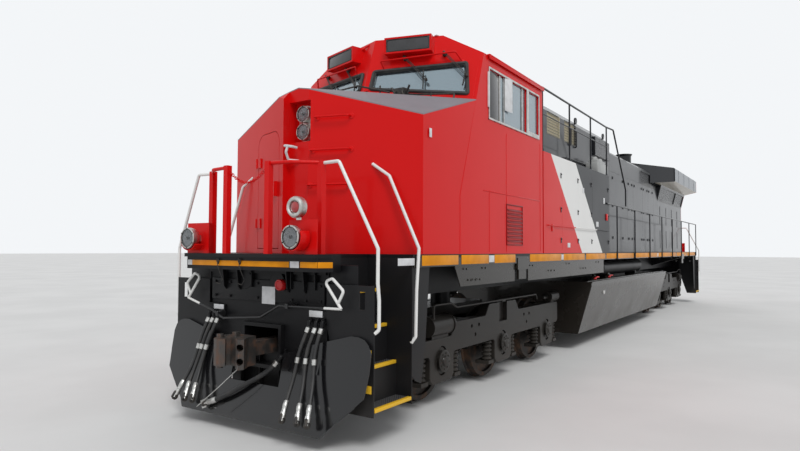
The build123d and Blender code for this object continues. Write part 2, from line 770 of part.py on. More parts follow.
# Cut levers: one bent rod across each end that lifts the coupler's lock, with a looped handle at each side
LEVER_OFFSET = 480
LEVER_RADIUS = 13
HANDLE_RADIUS = 15
LEVER_ROD = [  # Y, height above the rail
    (1173, 1350),
    (330, 1335),
    (60, 1200),
    (-540, 1150),
    (-760, 1240),
    (-1173, 1350),
]
HANDLE = [  # distance inboard of the handle's foot, height above it
    (0, 0),
    (215, 262),
    (115, 295),
    (-30, 175),
    (40, 52),
]


def cut_lever():
    """The rod with both handles and the two brackets that carry it on the end sheet."""
    x = front_x(LEVER_OFFSET)
    pieces = [tube([(x, y, up(z)) for y, z in LEVER_ROD], LEVER_RADIUS, 60)]
    foot_y, foot_z = LEVER_ROD[0]
    loop = tube([(x, foot_y - dy, up(foot_z + dz)) for dy, dz in HANDLE], HANDLE_RADIUS, 34)
    pieces += both_sides(loop)
    pieces.append(slab_yz([(430, up(1315)), (470, up(1315)), (470, up(1365)), (430, up(1365))],
                          front_x(END_SHEET), x + LEVER_RADIUS + 6))
    pieces.append(slab_yz([(-660, up(1170)), (-620, up(1170)), (-620, up(1220)), (-660, up(1220))],
                          front_x(END_SHEET) + 22, x + LEVER_RADIUS + 6))
    return fuse(pieces)


save("cut_levers", both_ends(cut_lever()))

# Snow plow: a rolled blade cut to its outline, on brackets from the end sheet
PLOW_OUTLINE = [  # Y, height above the rail
    (370, 500),
    (370, 835),
    (792, 971),
    (1243, 1086),
    (1335, 1084),
    (1412, 1062),
    (1466, 1012),
    (1495, 935),
    (1495, 752),
    (1471, 522),
    (1330, 388),
    (1118, 207),
    (1050, 120),
]
PLOW_FOOT_X = 300
PLOW_SAG_X = 450
PLOW_TOP_X = 550
PLOW_PLATE = 16
PLOW_FOOT_Z = 90
PLOW_SAG_Z = 560
PLOW_TOP_Z = 1130
PLOW_RIBS = (480, 860)


def snow_plow():
    """The blade has its curve in the side view and its outline in the front view."""
    profile = [
        (front_x(PLOW_FOOT_X), PLOW_FOOT_Z),
        (front_x(PLOW_SAG_X), PLOW_SAG_Z),
        (front_x(PLOW_TOP_X), PLOW_TOP_Z),
    ]
    face = ThreePointArc(*[(x, 0, z) for x, z in profile])
    back = ThreePointArc(*[(x - PLOW_PLATE, 0, z) for x, z in profile])
    section = make_face([face, back, Line(face @ 0, back @ 0), Line(face @ 1, back @ 1)])
    blade = extrude(section, amount=SIDE, dir=(0, 1, 0), both=True)
    half = [(y, up(z)) for y, z in PLOW_OUTLINE]
    outline = half + [(-y, z) for y, z in reversed(half)]
    blade = blade & slab_yz(outline, front_x(END_SHEET), front_x(200))
    pieces = [blade]
    for y in PLOW_RIBS:
        rib = [
            (front_x(END_SHEET), up(700)),
            (front_x(END_SHEET), up(860)),
            (front_x(PLOW_TOP_X - 40) - PLOW_PLATE, up(840)),
            (front_x(PLOW_SAG_X) - PLOW_PLATE, up(680)),
        ]
        pieces += both_sides(slab_xz(rib, y, y + 20))
    return fuse(pieces)


save("snow_plow", snow_plow())

# Corner steps: two side plates, and between them four treads and their risers, each set further in
# than the one below
TREADS = [  # outer edge Y, height above the rail
    (1494, 398),
    (1300, 758),
    (1178, 1140),
    (1042, 1504),
]
STEP_PLATE = 12
TREAD_PLATE = 30
STAIR_LOW = up(TREADS[0][1]) - 70
FRONT_PLATE_TOP = up(1580)
FRONT_PLATE_SLOT = (1320, 1390, 1346, 1520)
GUSSET = [  # offset, height above the rail
    (1258, 1770),
    (1660, 1770),
    (1570, 900),
    (1490, 490),
    (1370, 540),
    (1258, 640),
]


def corner_steps():
    """The pieces of the left front stair, with the gusset that ties its back plate to the sill."""
    deck_low = DECK - DECK_PLATE
    front, back = front_x(STAIR_FRONT), front_x(STAIR_BACK)
    plates = []
    for x, top in ((front - STEP_PLATE, FRONT_PLATE_TOP), (back, deck_low)):
        plate = [
            (SIDE - 5, STAIR_LOW),
            (SIDE - 5, top),
            (STAIR_INNER, top),
            (STAIR_INNER, up(1150)),
            (1180, STAIR_LOW),
        ]
        plates.append(slab_yz(plate, x, x + STEP_PLATE))
    slot_inner, slot_outer, slot_low, slot_high = FRONT_PLATE_SLOT
    plates[0] -= block(front - 50, front + 5, slot_inner, slot_outer, up(slot_low), up(slot_high))
    pieces = plates
    inside = (back + STEP_PLATE, front - STEP_PLATE)
    edges = TREADS + [(STAIR_INNER + STEP_PLATE, DECK - FLANGE_DEPTH)]
    for (y, z), (next_y, next_z) in zip(edges, edges[1:]):
        top = up(z)
        riser_top = min(up(next_z) - TREAD_PLATE, deck_low)
        pieces.append(block(*inside, next_y - STEP_PLATE, y, top - TREAD_PLATE, top))
        pieces.append(block(*inside, next_y - STEP_PLATE, next_y, top, riser_top))
    gusset = [(front_x(offset), up(z)) for offset, z in GUSSET]
    gusset_y = SIDE - SILL_THICKNESS - STEP_PLATE
    pieces.append(slab_xz(gusset, gusset_y, gusset_y + STEP_PLATE))
    return pieces


pairs = [both_sides(piece) for piece in corner_steps()]
stairs = [[pair[0] for pair in pairs], [pair[1] for pair in pairs]]
save("front_steps", stairs[0] + stairs[1])
save("rear_steps", [Rot(0, 0, 180) * piece for piece in stairs[0] + stairs[1]])

# End railings: square posts on each platform joined by top bars, with a kick plate in front of them
POST_HALF = 32
TOP_BAR_HALF = 20
RAILING_POSTS = [  # offset, Y, height of the top above the rail
    (320, 320, 2845),
    (548, 843, 2840),
]
TOP_BAR_KNEE = (352, 600, 2842)
KICK_OFFSET = 320
KICK_TOP = up(2224)
KICK_PLATE = 10
KICK_INNER_Y = 620
KICK_OUTER_Y = 993


def end_railing():
    """The left half of the front platform's railing."""
    pieces = []
    for offset, y, z in RAILING_POSTS:
        x = front_x(offset)
        pieces.append(block(x - POST_HALF, x + POST_HALF, y - POST_HALF, y + POST_HALF, DECK, up(z)))
    inner, outer = RAILING_POSTS
    bar = [(front_x(offset), y, up(z) - TOP_BAR_HALF) for offset, y, z in (inner, TOP_BAR_KNEE, outer)]
    pieces.append(tube(bar, TOP_BAR_HALF, 60))
    wing_x, wing_y = front_x(outer[0]), outer[1] - POST_HALF + 5
    kick_x = front_x(KICK_OFFSET)
    lean = (wing_y - KICK_INNER_Y) / (kick_x - wing_x)
    skew = KICK_PLATE * hypot(1, lean)
    kick = [
        (wing_x, wing_y),
        (kick_x, KICK_INNER_Y),
        (kick_x, KICK_OUTER_Y),
        (kick_x - KICK_PLATE, KICK_OUTER_Y),
        (kick_x - KICK_PLATE, KICK_INNER_Y + lean * KICK_PLATE + skew),
        (wing_x, wing_y + skew),
    ]
    pieces.append(slab_xy(kick, DECK, KICK_TOP))
    return fuse(pieces)


railing = both_sides(end_railing())
save("end_railings", railing + [Rot(0, 0, 180) * half for half in railing])

# Step handrails: bent white bars, one beside each edge of each stair
STEP_RAIL_RADIUS = 18
STEP_RAIL_BEND = 38
FRONT_STEP_RAIL = [  # offset, Y, height above the rail
    (555, 868, 2815),
    (532, 1085, 2815),
    (600, 1525, 1940),
    (598, 1525, 1610),
    (614, 1530, 1440),
    (614, 1530, 1160),
    (588, 1497, 1125),
]
REAR_STEP_RAIL = [  # offset, Y, height above the rail
    (1306, 930, 2890),
    (1290, 1170, 2740),
    (1335, 1527, 1945),
    (1290, 1527, 1500),
    (1275, 1527, 1020),
    (1256, 1485, 955),
]


def step_rail(route):
    """One bent bar."""
    return tube([(front_x(offset), y, up(z)) for offset, y, z in route], STEP_RAIL_RADIUS, STEP_RAIL_BEND)


# Hoses: control hoses from the elbows down in front of the plow, and the brake hose from its pipe
HOSE_RADIUS = 21
HOSE_DROP = [  # offset, height above the rail
    (534, 1141),
    (490, 1035),
    (450, 890),
    (420, 730),
    (370, 580),
    (300, 450),
    (235, 340),
]
LEFT_HOSES = [  # Y at each place of the drop
    (704, 690, 652, 640, 635, 638, 660),
    (798, 784, 754, 760, 785, 815, 850),
    (880, 872, 859, 880, 910, 945, 980),
]
RIGHT_HOSES = [  # Y at each place of the drop
    (-694, -715, -755, -790, -790, -760, -722),
    (-773, -800, -835, -866, -885, -875, -846),
    (-853, -870, -895, -921, -945, -970, -987),
]
BRAKE_HOSE_RADIUS = 27
BRAKE_HOSE = [  # offset, Y, height above the rail
    (486, 320, 761),
    (464, 274, 700),
    (438, 195, 632),
    (410, 80, 560),
    (375, -60, 485),
    (345, -210, 400),
    (320, -370, 315),
    (305, -540, 250),
]
COUPLING_LENGTH = 95
COUPLING_RADIUS = 30


def cord(name, points, radius):
    """A limp cord along its route, rounded at each point by the shorter of its two runs."""
    corners = [Vector(*point) for point in points]
    radii = []
    for before, here, after in zip(corners, corners[1:], corners[2:]):
        first, second = here - before, after - here
        half_turn = radians(first.get_angle(second)) / 2
        radii.append(0.45 * min(first.length, second.length) / tan(half_turn))
    path = FilletPolyline(*points, radius=radii)
    save(name, sweep(Plane(origin=path @ 0, z_dir=path % 0) * Circle(radius), path=path))
    least = min(radii)
    print(name, "length", round(path.length), "least radius", round(least), "diameters", round(least / radius / 2, 1))
    return path


couplings = []
for number, columns in enumerate(LEFT_HOSES + RIGHT_HOSES, start=1):
    route = [(front_x(offset), y, up(z)) for (offset, z), y in zip(HOSE_DROP, columns)]
    hose = cord("front_mu_hose_" + str(number), route, HOSE_RADIUS)
    end = Plane(origin=hose @ 1, z_dir=hose % 1)
    couplings.append(end * Pos(0, 0, COUPLING_LENGTH / 2) * Cylinder(COUPLING_RADIUS, COUPLING_LENGTH))
hose = cord("front_brake_hose", [(front_x(offset), y, up(z)) for offset, y, z in BRAKE_HOSE], BRAKE_HOSE_RADIUS)
end = Plane(origin=hose @ 1, z_dir=hose % 1)
glad_hand = end * Pos(0, 0, 30) * Cylinder(30, 60) + end * Pos(0, 0, 75) * Box(90, 46, 70)
couplings.append(glad_hand)
save("hose_couplings", couplings)

# Nose: two swept faces in plan, the right one stepped forward, under a folded top
NOSE_CORNER = (1470, 1493)
NOSE_CENTRE = (1083, 163)
NOSE_STEP = (980, -140)
NOSE_TOP_FRONT = 3808
NOSE_TOP_CORNER = 3423
BROW_CENTRE = (2340, 4063)
BROW_SIDE = (2724, 3842)
BROW_TOP = (2948, 4501)
NOSE_FOOT = 60
STEP_TOP = 3700
DOOR_NEAR = 110
DOOR_FAR = 710
DOOR_BOTTOM = DECK + 60
DOOR_TOP = up(3350)
DOOR_CORNER = 150
HEADLIGHT_BOTTOM = up(3188)
HEADLIGHT_TOP = up(3672)
HEADLIGHT_DEPTH = 120
HEADLIGHT_LEFT = 187
GRAB_IRONS = [  # nearer Y, farther Y, height above the rail
    (270, 680, 3450),
    (220, 680, 3070),
    (190, 670, 2670),
]
GRAB_RADIUS = 11
GRAB_STAND_OFF = 70


def plane_through(a, b, c):
    """A plane through three points, with its normal turned upwards."""
    normal = (b - a).cross(c - a)
    if normal.Z < 0:
        normal = normal * -1
    return Plane(origin=a, z_dir=normal)


def mirrored_plane(plane):
    """The same plane on the other side of the centre line."""
    origin, normal = plane.origin, plane.z_dir
    return Plane(origin=(origin.X, -origin.Y, origin.Z), z_dir=(normal.X, -normal.Y, normal.Z))


def nose_planes(drop):
    """The two planes of the nose's left top, lowered by the plate's thickness for the inside."""
    front = Vector(front_x(NOSE_CENTRE[0]), NOSE_CENTRE[1], up(NOSE_TOP_FRONT - drop))
    corner = Vector(front_x(NOSE_CORNER[0]), NOSE_CORNER[1], up(NOSE_TOP_CORNER - drop))
    side = Vector(front_x(BROW_SIDE[0]), SIDE, up(BROW_SIDE[1] - drop))
    brow = Vector(front_x(BROW_CENTRE[0]), 0, up(BROW_CENTRE[1] - drop))
    return plane_through(front, corner, side), plane_through(front, side, brow)


def nose_form(inset, back):
    """The nose as a filled form, its walls moved in by inset and its back edge moved by back."""
    slope = (NOSE_CORNER[0] - NOSE_CENTRE[0]) / (NOSE_CORNER[1] - NOSE_CENTRE[1])
    grow = inset * 1.04
    corner_x = front_x(NOSE_CORNER[0] + grow - slope * inset)
    outline = [
        (front_x(NOSE_STEP[0] + grow), NOSE_STEP[1] - inset),
        (front_x(NOSE_CENTRE[0] + grow), NOSE_STEP[1] - inset),
        (front_x(NOSE_CENTRE[0] + grow), NOSE_CENTRE[1]),
        (corner_x, NOSE_CORNER[1] - inset),
        (front_x(BROW_SIDE[0] + back), SIDE - inset),
        (front_x(BROW_CENTRE[0] + back), 0),
        (front_x(BROW_SIDE[0] + back), -SIDE + inset),
        (corner_x, -NOSE_CORNER[1] + inset),
    ]
    form = slab_xy(outline, DECK if inset == 0 else DECK - 5, up(4300))
    for plane in nose_planes(inset):
        form = split(form, bisect_by=plane, keep=Keep.BOTTOM)
        form = split(form, bisect_by=mirrored_plane(plane), keep=Keep.BOTTOM)
    chamfer = [
        (front_x(NOSE_STEP[0]) + 5, up(STEP_TOP - inset)),
        (front_x(NOSE_CENTRE[0]), up(NOSE_TOP_FRONT - inset)),
        (front_x(NOSE_CENTRE[0]), up(4300)),
        (front_x(NOSE_STEP[0]) + 5, up(4300)),
    ]
    return form - slab_xz(chamfer, -SIDE - 5, SIDE + 5)


right_front = Vector(front_x(NOSE_STEP[0]), NOSE_STEP[1], 0)
right_corner = Vector(front_x(NOSE_CORNER[0]), -NOSE_CORNER[1], 0)
face_dir = (right_corner - right_front).normalized()
face_normal = Vector(-face_dir.Y, face_dir.X, 0)


def on_face(distance, out):
    """A place on the nose's right face: distance from the step, and how far in front of the face."""
    return right_front + face_dir * distance + face_normal * out


def door_prism(near, far, bottom, top, out, depth, radius):
    """A plate parallel to the nose's right face with rounded upper corners."""
    corners = [on_face(near, out), on_face(far, out), on_face(far, out - depth), on_face(near, out - depth)]
    plate = slab_xy([(corner.X, corner.Y) for corner in corners], bottom, top)
    if radius:
        picks = [
            edge for edge in plate.edges()
            if abs(edge.center().Z - top) < 1 and abs((edge % 0.5).dot(face_normal)) > 0.99
        ]
        plate = fillet(picks, radius)
    return plate


nose_outer = nose_form(0, NOSE_FOOT)
nose = nose_outer - nose_form(WALL, NOSE_FOOT + 10)
nose -= door_prism(
    DOOR_NEAR - DOOR_GAP, DOOR_FAR + DOOR_GAP, DOOR_BOTTOM - DOOR_GAP, DOOR_TOP + DOOR_GAP,
    60, 220, DOOR_CORNER + DOOR_GAP,
)
recess_back = front_x(NOSE_CENTRE[0] + HEADLIGHT_DEPTH)
recess = block(recess_back, front_x(900), NOSE_STEP[1] + 1, HEADLIGHT_LEFT, HEADLIGHT_BOTTOM, HEADLIGHT_TOP)
liner = block(
    recess_back - 20, front_x(NOSE_CENTRE[0] + WALL - 5),
    NOSE_STEP[1] - 19, HEADLIGHT_LEFT + 20, HEADLIGHT_BOTTOM - 20, HEADLIGHT_TOP + 20,
)
nose = nose + (liner & nose_outer) - recess


def left_face_x(y):
    """The X of the nose's left face at a given Y."""
    share = (y - NOSE_CENTRE[1]) / (NOSE_CORNER[1] - NOSE_CENTRE[1])
    return front_x(NOSE_CENTRE[0] + share * (NOSE_CORNER[0] - NOSE_CENTRE[0]))


for near, far, height in GRAB_IRONS:
    route = [
        (left_face_x(near) - 8, near, up(height)),
        (left_face_x(near) + GRAB_STAND_OFF, near, up(height)),
        (left_face_x(far) + GRAB_STAND_OFF, far, up(height)),
        (left_face_x(far) - 8, far, up(height)),
    ]
    nose += tube(route, GRAB_RADIUS, 24)
save("nose_shell", nose)

door = door_prism(DOOR_NEAR, DOOR_FAR, DOOR_BOTTOM, DOOR_TOP, 0, DOOR_THICKNESS, DOOR_CORNER)
hinge = on_face(DOOR_FAR + HINGE_RADIUS + 2, HINGE_RADIUS + 2)
for z in (DOOR_BOTTOM + 250, DOOR_TOP - 400):
    door += door_prism(DOOR_FAR - 90, DOOR_FAR + HINGE_RADIUS, z, z + 120, HINGE_RADIUS + 2, 10, 0)
    door += door_prism(DOOR_FAR - 90, DOOR_FAR - 10, z, z + 120, HINGE_RADIUS + 2, HINGE_RADIUS + 5, 0)
    door += upright(HINGE_RADIUS, hinge.X, hinge.Y, z, z + 120)
door += door_prism(DOOR_NEAR + 40, DOOR_NEAR + 70, DOOR_BOTTOM + 620, DOOR_BOTTOM + 800, 45, 50, 0)
save("nose_door", door)
print("nose door hinge", round(hinge.X, 2), round(hinge.Y, 2))

# Cab: raked V front, side walls with windows, back wall with its door, roof with sloping shoulders
front_plane = plane_through(
    Vector(front_x(BROW_SIDE[0]), SIDE, up(BROW_SIDE[1])),
    Vector(front_x(BROW_TOP[0]), SIDE, up(BROW_TOP[1])),
    Vector(front_x(BROW_CENTRE[0]), 0, up(BROW_CENTRE[1])),
)
WINDOWS = [  # front offset, back offset, lowest, highest
    (3100, 4375, 3680, 4330),
    (4455, 4865, 3720, 4330),
]
PANE = [  # Y, height above the rail
    (92, 4092),
    (92, 4350),
    (1308, 4372),
    (1390, 3926),
]
PANE_CORNER = 50
REAR_DOOR_OUTER = 1430
REAR_DOOR_INNER = 980
REAR_DOOR_BOTTOM = DECK + 120
REAR_DOOR_TOP = up(3950)
REAR_DOOR_FRAME = 90
CAB_FRONT = 2300
ROOF_OVERHANG = 40
GLASS = 10
GLASS_DEPTH = 20


def behind_front(shape, depth):
    """What lies behind the raked V front, moved back by depth."""
    for plane in (front_plane, mirrored_plane(front_plane)):
        moved = Plane(origin=plane.origin - plane.z_dir * depth, z_dir=plane.z_dir)
        shape = split(shape, bisect_by=moved, keep=Keep.BOTTOM)
    return shape


def cab_section(drop):
    """The upper part of the cab's cross section, lowered by drop, from one eave to the other."""
    return mirrored([
        (SIDE - drop, CAB_EAVE),
        (CAB_SHOULDER_HALF - drop * 0.4, CAB_SHOULDER - drop),
        (0, CAB_CROWN - drop),
    ])


cab_back_x = front_x(CAB_BACK)
side_wall = block(cab_back_x, front_x(CAB_FRONT), SIDE - WALL, SIDE, DECK, CAB_EAVE)
side_wall = behind_front(side_wall, 0) - nose_outer
for x0, x1, z0, z1 in WINDOWS:
    side_wall -= block(front_x(x1), front_x(x0), SIDE - WALL - 10, SIDE + 10, up(z0), up(z1))
save("cab_sides", both_sides(side_wall))

low = up(3500)
inside_outline = [(SIDE - WALL, low), *cab_section(WALL), (-SIDE + WALL, low)]
inside = slab_yz(inside_outline, front_x(CAB_FRONT + 1000), front_x(CAB_FRONT))
front_wall = behind_front(inside, 0) - behind_front(inside, WALL) - nose_outer
brow_plane = nose_planes(0)[1]
for plane in (brow_plane, mirrored_plane(brow_plane)):
    front_wall = split(front_wall, bisect_by=plane, keep=Keep.TOP)
pane_strip = slab_yz([(y, up(z)) for y, z in PANE], front_x(CAB_FRONT + 1000), front_x(CAB_FRONT) + 100)
pane_strip = fillet(pane_strip.edges().filter_by(Axis.X), PANE_CORNER)
for cut in both_sides(pane_strip):
    front_wall -= cut
save("cab_front", front_wall)

roof = slab_yz(cab_section(0), front_x(CAB_BACK + ROOF_OVERHANG), front_x(CAB_FRONT))
roof -= slab_yz(cab_section(WALL), front_x(CAB_BACK + ROOF_OVERHANG) - 20, front_x(CAB_FRONT) + 100)
save("cab_roof", behind_front(roof, 0))

back_outline = [(SIDE - WALL, DECK), *cab_section(WALL), (-SIDE + WALL, DECK)]
back_wall = slab_yz(back_outline, cab_back_x, cab_back_x + WALL)
back_wall -= block(
    cab_back_x - 10, cab_back_x + WALL + 10, -REAR_DOOR_OUTER - DOOR_GAP, -REAR_DOOR_INNER + DOOR_GAP,
    REAR_DOOR_BOTTOM - DOOR_GAP, REAR_DOOR_TOP + DOOR_GAP,
)
save("cab_back", back_wall)

rear_door = block(
    cab_back_x, cab_back_x + DOOR_THICKNESS, -REAR_DOOR_OUTER, -REAR_DOOR_INNER,
    REAR_DOOR_BOTTOM, REAR_DOOR_TOP,
)
rear_door -= block(
    cab_back_x - 10, cab_back_x + WALL + 10,
    -REAR_DOOR_OUTER + REAR_DOOR_FRAME, -REAR_DOOR_INNER - REAR_DOOR_FRAME,
    REAR_DOOR_TOP - 620, REAR_DOOR_TOP - 120,
)
rear_hinge = (cab_back_x - HINGE_RADIUS - 2, -REAR_DOOR_INNER + HINGE_RADIUS + 2)
edge = -REAR_DOOR_INNER
for z in (REAR_DOOR_BOTTOM + 250, REAR_DOOR_TOP - 400):
    rear_door += block(cab_back_x - HINGE_RADIUS - 2, cab_back_x + 2, edge - 90, edge - 10, z, z + 120)
    rear_door += block(cab_back_x - HINGE_RADIUS - 2, cab_back_x - 6, edge - 90, edge + HINGE_RADIUS, z, z + 120)
    rear_door += upright(HINGE_RADIUS, *rear_hinge, z, z + 120)
save("cab_rear_door", rear_door)
print("rear door hinge", rear_hinge)

floor_front = 3000
floor_half = SIDE - WALL
floor_low = up(CAB_FLOOR) - 40
floor = block(cab_back_x + WALL, front_x(floor_front), -floor_half, floor_half, floor_low, up(CAB_FLOOR))
floor -= block(cab_back_x, front_x(CAB_BACK - 700), -SIDE, -900, 0, up(CAB_FLOOR) + 10)
floor += block(front_x(floor_front) - 40, front_x(floor_front), -floor_half, floor_half, DECK, floor_low)
save("cab_floor", floor)

DESK = [  # offset, height above the rail
    (3060, CAB_FLOOR),
    (3060, 3350),
    (3220, 3380),
    (3520, 3230),
    (3520, 3190),
    (3300, 3150),
    (3300, CAB_FLOOR),
]
desk = slab_xz([(front_x(offset), up(z)) for offset, z in DESK], 350, 1400)
save("cab_desk", both_sides(desk))

SEAT_OFFSET = 4050
SEAT_Y = 850


def seat(x, y):
    """A pedestal seat facing forward."""
    level = up(CAB_FLOOR)
    base = upright(60, x, y, level, level + 420)
    cushion = block(x - 240, x + 240, y - 240, y + 240, level + 400, level + 510)
    backrest = block(x - 250, x - 150, y - 220, y + 220, level + 500, level + 1120)
    return fuse([base, cushion, backrest])


save("cab_seats", both_sides(seat(front_x(SEAT_OFFSET), SEAT_Y)))

glass = both_sides(behind_front(pane_strip, GLASS_DEPTH) - behind_front(pane_strip, GLASS_DEPTH + GLASS))
for x0, x1, z0, z1 in WINDOWS:
    outer = SIDE - GLASS_DEPTH
    glass += both_sides(block(front_x(x1), front_x(x0), outer - GLASS, outer, up(z0), up(z1)))
save("cab_windows", glass)

FRAME_PROUD = 12
FRAME_BORDER = 25
frames = block(
    front_x(WINDOWS[-1][1] + FRAME_BORDER), front_x(WINDOWS[0][0] - FRAME_BORDER), SIDE, SIDE + FRAME_PROUD,
    up(WINDOWS[0][2] - FRAME_BORDER), up(WINDOWS[0][3] + FRAME_BORDER),
)
for x0, x1, z0, z1 in WINDOWS:
    frames -= block(front_x(x1), front_x(x0), SIDE - 5, SIDE + FRAME_PROUD + 5, up(z0), up(z1))
save("window_frames", both_sides(frames))

# Number boards: boxes on the raked front below the roof, with blank faces set in a rim
BOARD_INNER = (2436, 273)
BOARD_OUTER = (2623, 897)
BOARD_BOTTOM = up(4560)
BOARD_TOP = up(4780)
BOARD_RIM = 22
BOARD_FACE_DEPTH = 10


def number_board():
    """The left board, cut to the raked front and to the roof behind it."""
    near = Vector(front_x(BOARD_INNER[0]), BOARD_INNER[1], 0)
    far = Vector(front_x(BOARD_OUTER[0]), BOARD_OUTER[1], 0)
    run = (far - near).normalized()
    normal = Vector(run.Y, -run.X, 0)
    if normal.X < 0:
        normal = normal * -1
    deep = normal * -700
    corners = [near, far, far + deep, near + deep]
    box = slab_xy([(c.X, c.Y) for c in corners], BOARD_BOTTOM, BOARD_TOP)
    rim = [near + run * BOARD_RIM, far - run * BOARD_RIM]
    sunk = normal * -BOARD_FACE_DEPTH
    hole = [rim[0] + normal * 5, rim[1] + normal * 5, rim[1] + sunk, rim[0] + sunk]
    box -= slab_xy([(c.X, c.Y) for c in hole], BOARD_BOTTOM + BOARD_RIM, BOARD_TOP - BOARD_RIM)
    cab_outline = [(SIDE, low), *cab_section(0), (-SIDE, low)]
    solid_cab = slab_yz(cab_outline, front_x(CAB_BACK), front_x(CAB_FRONT))
    return box - behind_front(solid_cab, 0)


save("number_boards", both_sides(number_board()))

# Lamps: two headlights on a plate in the recess, two ditch lamps on brackets, one marker lamp
HEADLIGHT_RADIUS = 98
HEADLIGHT_Y = 25
HEADLIGHT_PLACES = (up(3319), up(3529))
HEADLIGHT_PLATE_RADIUS = 112
HEADLIGHT_LENGTH = 70
DITCH_Y = 786
DITCH_Z = up(2050)
DITCH_RADIUS = 117
DITCH_FACE = 160
DITCH_DEPTH = 130
DITCH_FOOT = 35
MARKER_FACE = 270
MARKER_Y = 745
MARKER_Z = up(2350)
MARKER_RADIUS = 108
MARKER_DEPTH = 60
LENS_RADIUS = 60
LENS_DEPTH = 12


def lamp(radius, depth, lens_radius):
    """A round can facing forward with its face at x = 0 and its lens set in."""
    can = along(radius, 0, 0, -depth, 0)
    return can - along(lens_radius, 0, 0, -LENS_DEPTH, 5)


def domed_lamp(radius, depth, lens_radius):
    """A lamp whose can is rounded behind a short straight rim."""
    rim, tail = (-depth * 0.2, radius), (-depth, radius * 0.35)
    dome = ThreePointArc(rim, (-depth * 0.72, radius * 0.8), tail)
    edges = [Line((0, 0), (0, radius)), Line((0, radius), rim), dome]
    edges += [Line(tail, (-depth, 0)), Line((-depth, 0), (0, 0))]
    return revolve(make_face(edges), axis=Axis.X) - along(lens_radius, 0, 0, -LENS_DEPTH, 5)


lamps = []
plate_x = recess_back + 12
headlight = block(
    recess_back, plate_x, HEADLIGHT_Y - HEADLIGHT_PLATE_RADIUS, HEADLIGHT_Y + HEADLIGHT_PLATE_RADIUS,
    *HEADLIGHT_PLACES,
)
for z in HEADLIGHT_PLACES:
    headlight += along(HEADLIGHT_PLATE_RADIUS, HEADLIGHT_Y, z, recess_back, plate_x)
    face_x = recess_back + HEADLIGHT_LENGTH
    headlight += Pos(face_x, HEADLIGHT_Y, z) * lamp(HEADLIGHT_RADIUS, HEADLIGHT_LENGTH, HEADLIGHT_RADIUS - 9)
lamps.append(headlight)
ditch = Pos(front_x(DITCH_FACE), DITCH_Y, DITCH_Z) * domed_lamp(DITCH_RADIUS, DITCH_DEPTH, DITCH_RADIUS - 14)
ditch += block(
    front_x(KICK_OFFSET), front_x(DITCH_FACE + DITCH_DEPTH - 10),
    DITCH_Y - DITCH_FOOT, DITCH_Y + DITCH_FOOT, DITCH_Z - DITCH_FOOT, DITCH_Z + DITCH_FOOT,
)
marker = Pos(front_x(MARKER_FACE), MARKER_Y, MARKER_Z) * lamp(MARKER_RADIUS, MARKER_DEPTH, LENS_RADIUS)
marker += block(
    front_x(KICK_OFFSET) - KICK_PLATE, front_x(KICK_OFFSET), MARKER_Y - 30, MARKER_Y + 30, KICK_TOP, MARKER_Z,
)
save("lamps", lamps + both_sides(ditch) + [marker])

# Equipment cabinet beside the hood, on the left behind the cab, with its door seams
SEAM = 6
SEAM_DEPTH = 5
CABINET_FRONT = CAB_BACK + 44
CABINET_SEAMS = (5960, 6880, 7720)
CABINET_SEAM_TOP = 3360
cabinet = block(front_x(CABINET_BACK), front_x(CABINET_FRONT), HOOD_HALF + PANEL_GAP, SIDE, DECK, CABINET_TOP)
for offset in CABINET_SEAMS:
    cabinet -= block(
        front_x(offset) - SEAM / 2, front_x(offset) + SEAM / 2, SIDE - SEAM_DEPTH, SIDE + 5,
        DECK + 60, up(CABINET_SEAM_TOP),
    )
rail_y = SIDE + 25
rail_run = [
    (front_x(5250), SIDE - 6, up(2335)),
    (front_x(5250), rail_y, up(2335)),
    (front_x(8820), rail_y, up(2335)),
    (front_x(8820), SIDE - 6, up(2335)),
]
cabinet += tube(rail_run, 9, 12)
save("equipment_cabinet", cabinet)

# Blower hood: the tall hood behind the cab, with louvre banks, pipe loops and lifting rings
BLOWER_BEVEL = 180
LOUVRES = [  # front offset, back offset
    (6760, 7470),
    (7740, 8470),
]
LOUVRE_BOTTOM = up(4120)
LOUVRE_TOP = up(4560)
LOUVRE_DEPTH = 35
LOUVRE_STEP = 55
SLAT_THICKNESS = 8
SLAT_LEAN = 35
SCREEN = (9700, 10870)
SCREEN_BOTTOM = up(4100)
SCREEN_TOP = up(4530)
SCREEN_PROUD = 60
LIFT_RINGS = (8790, 10930)


def hood_section(half, top, bevel):
    """The cross section of a hood with bevelled roof edges."""
    return mirrored([(half, DECK), (half, top - bevel), (half - bevel, top)])


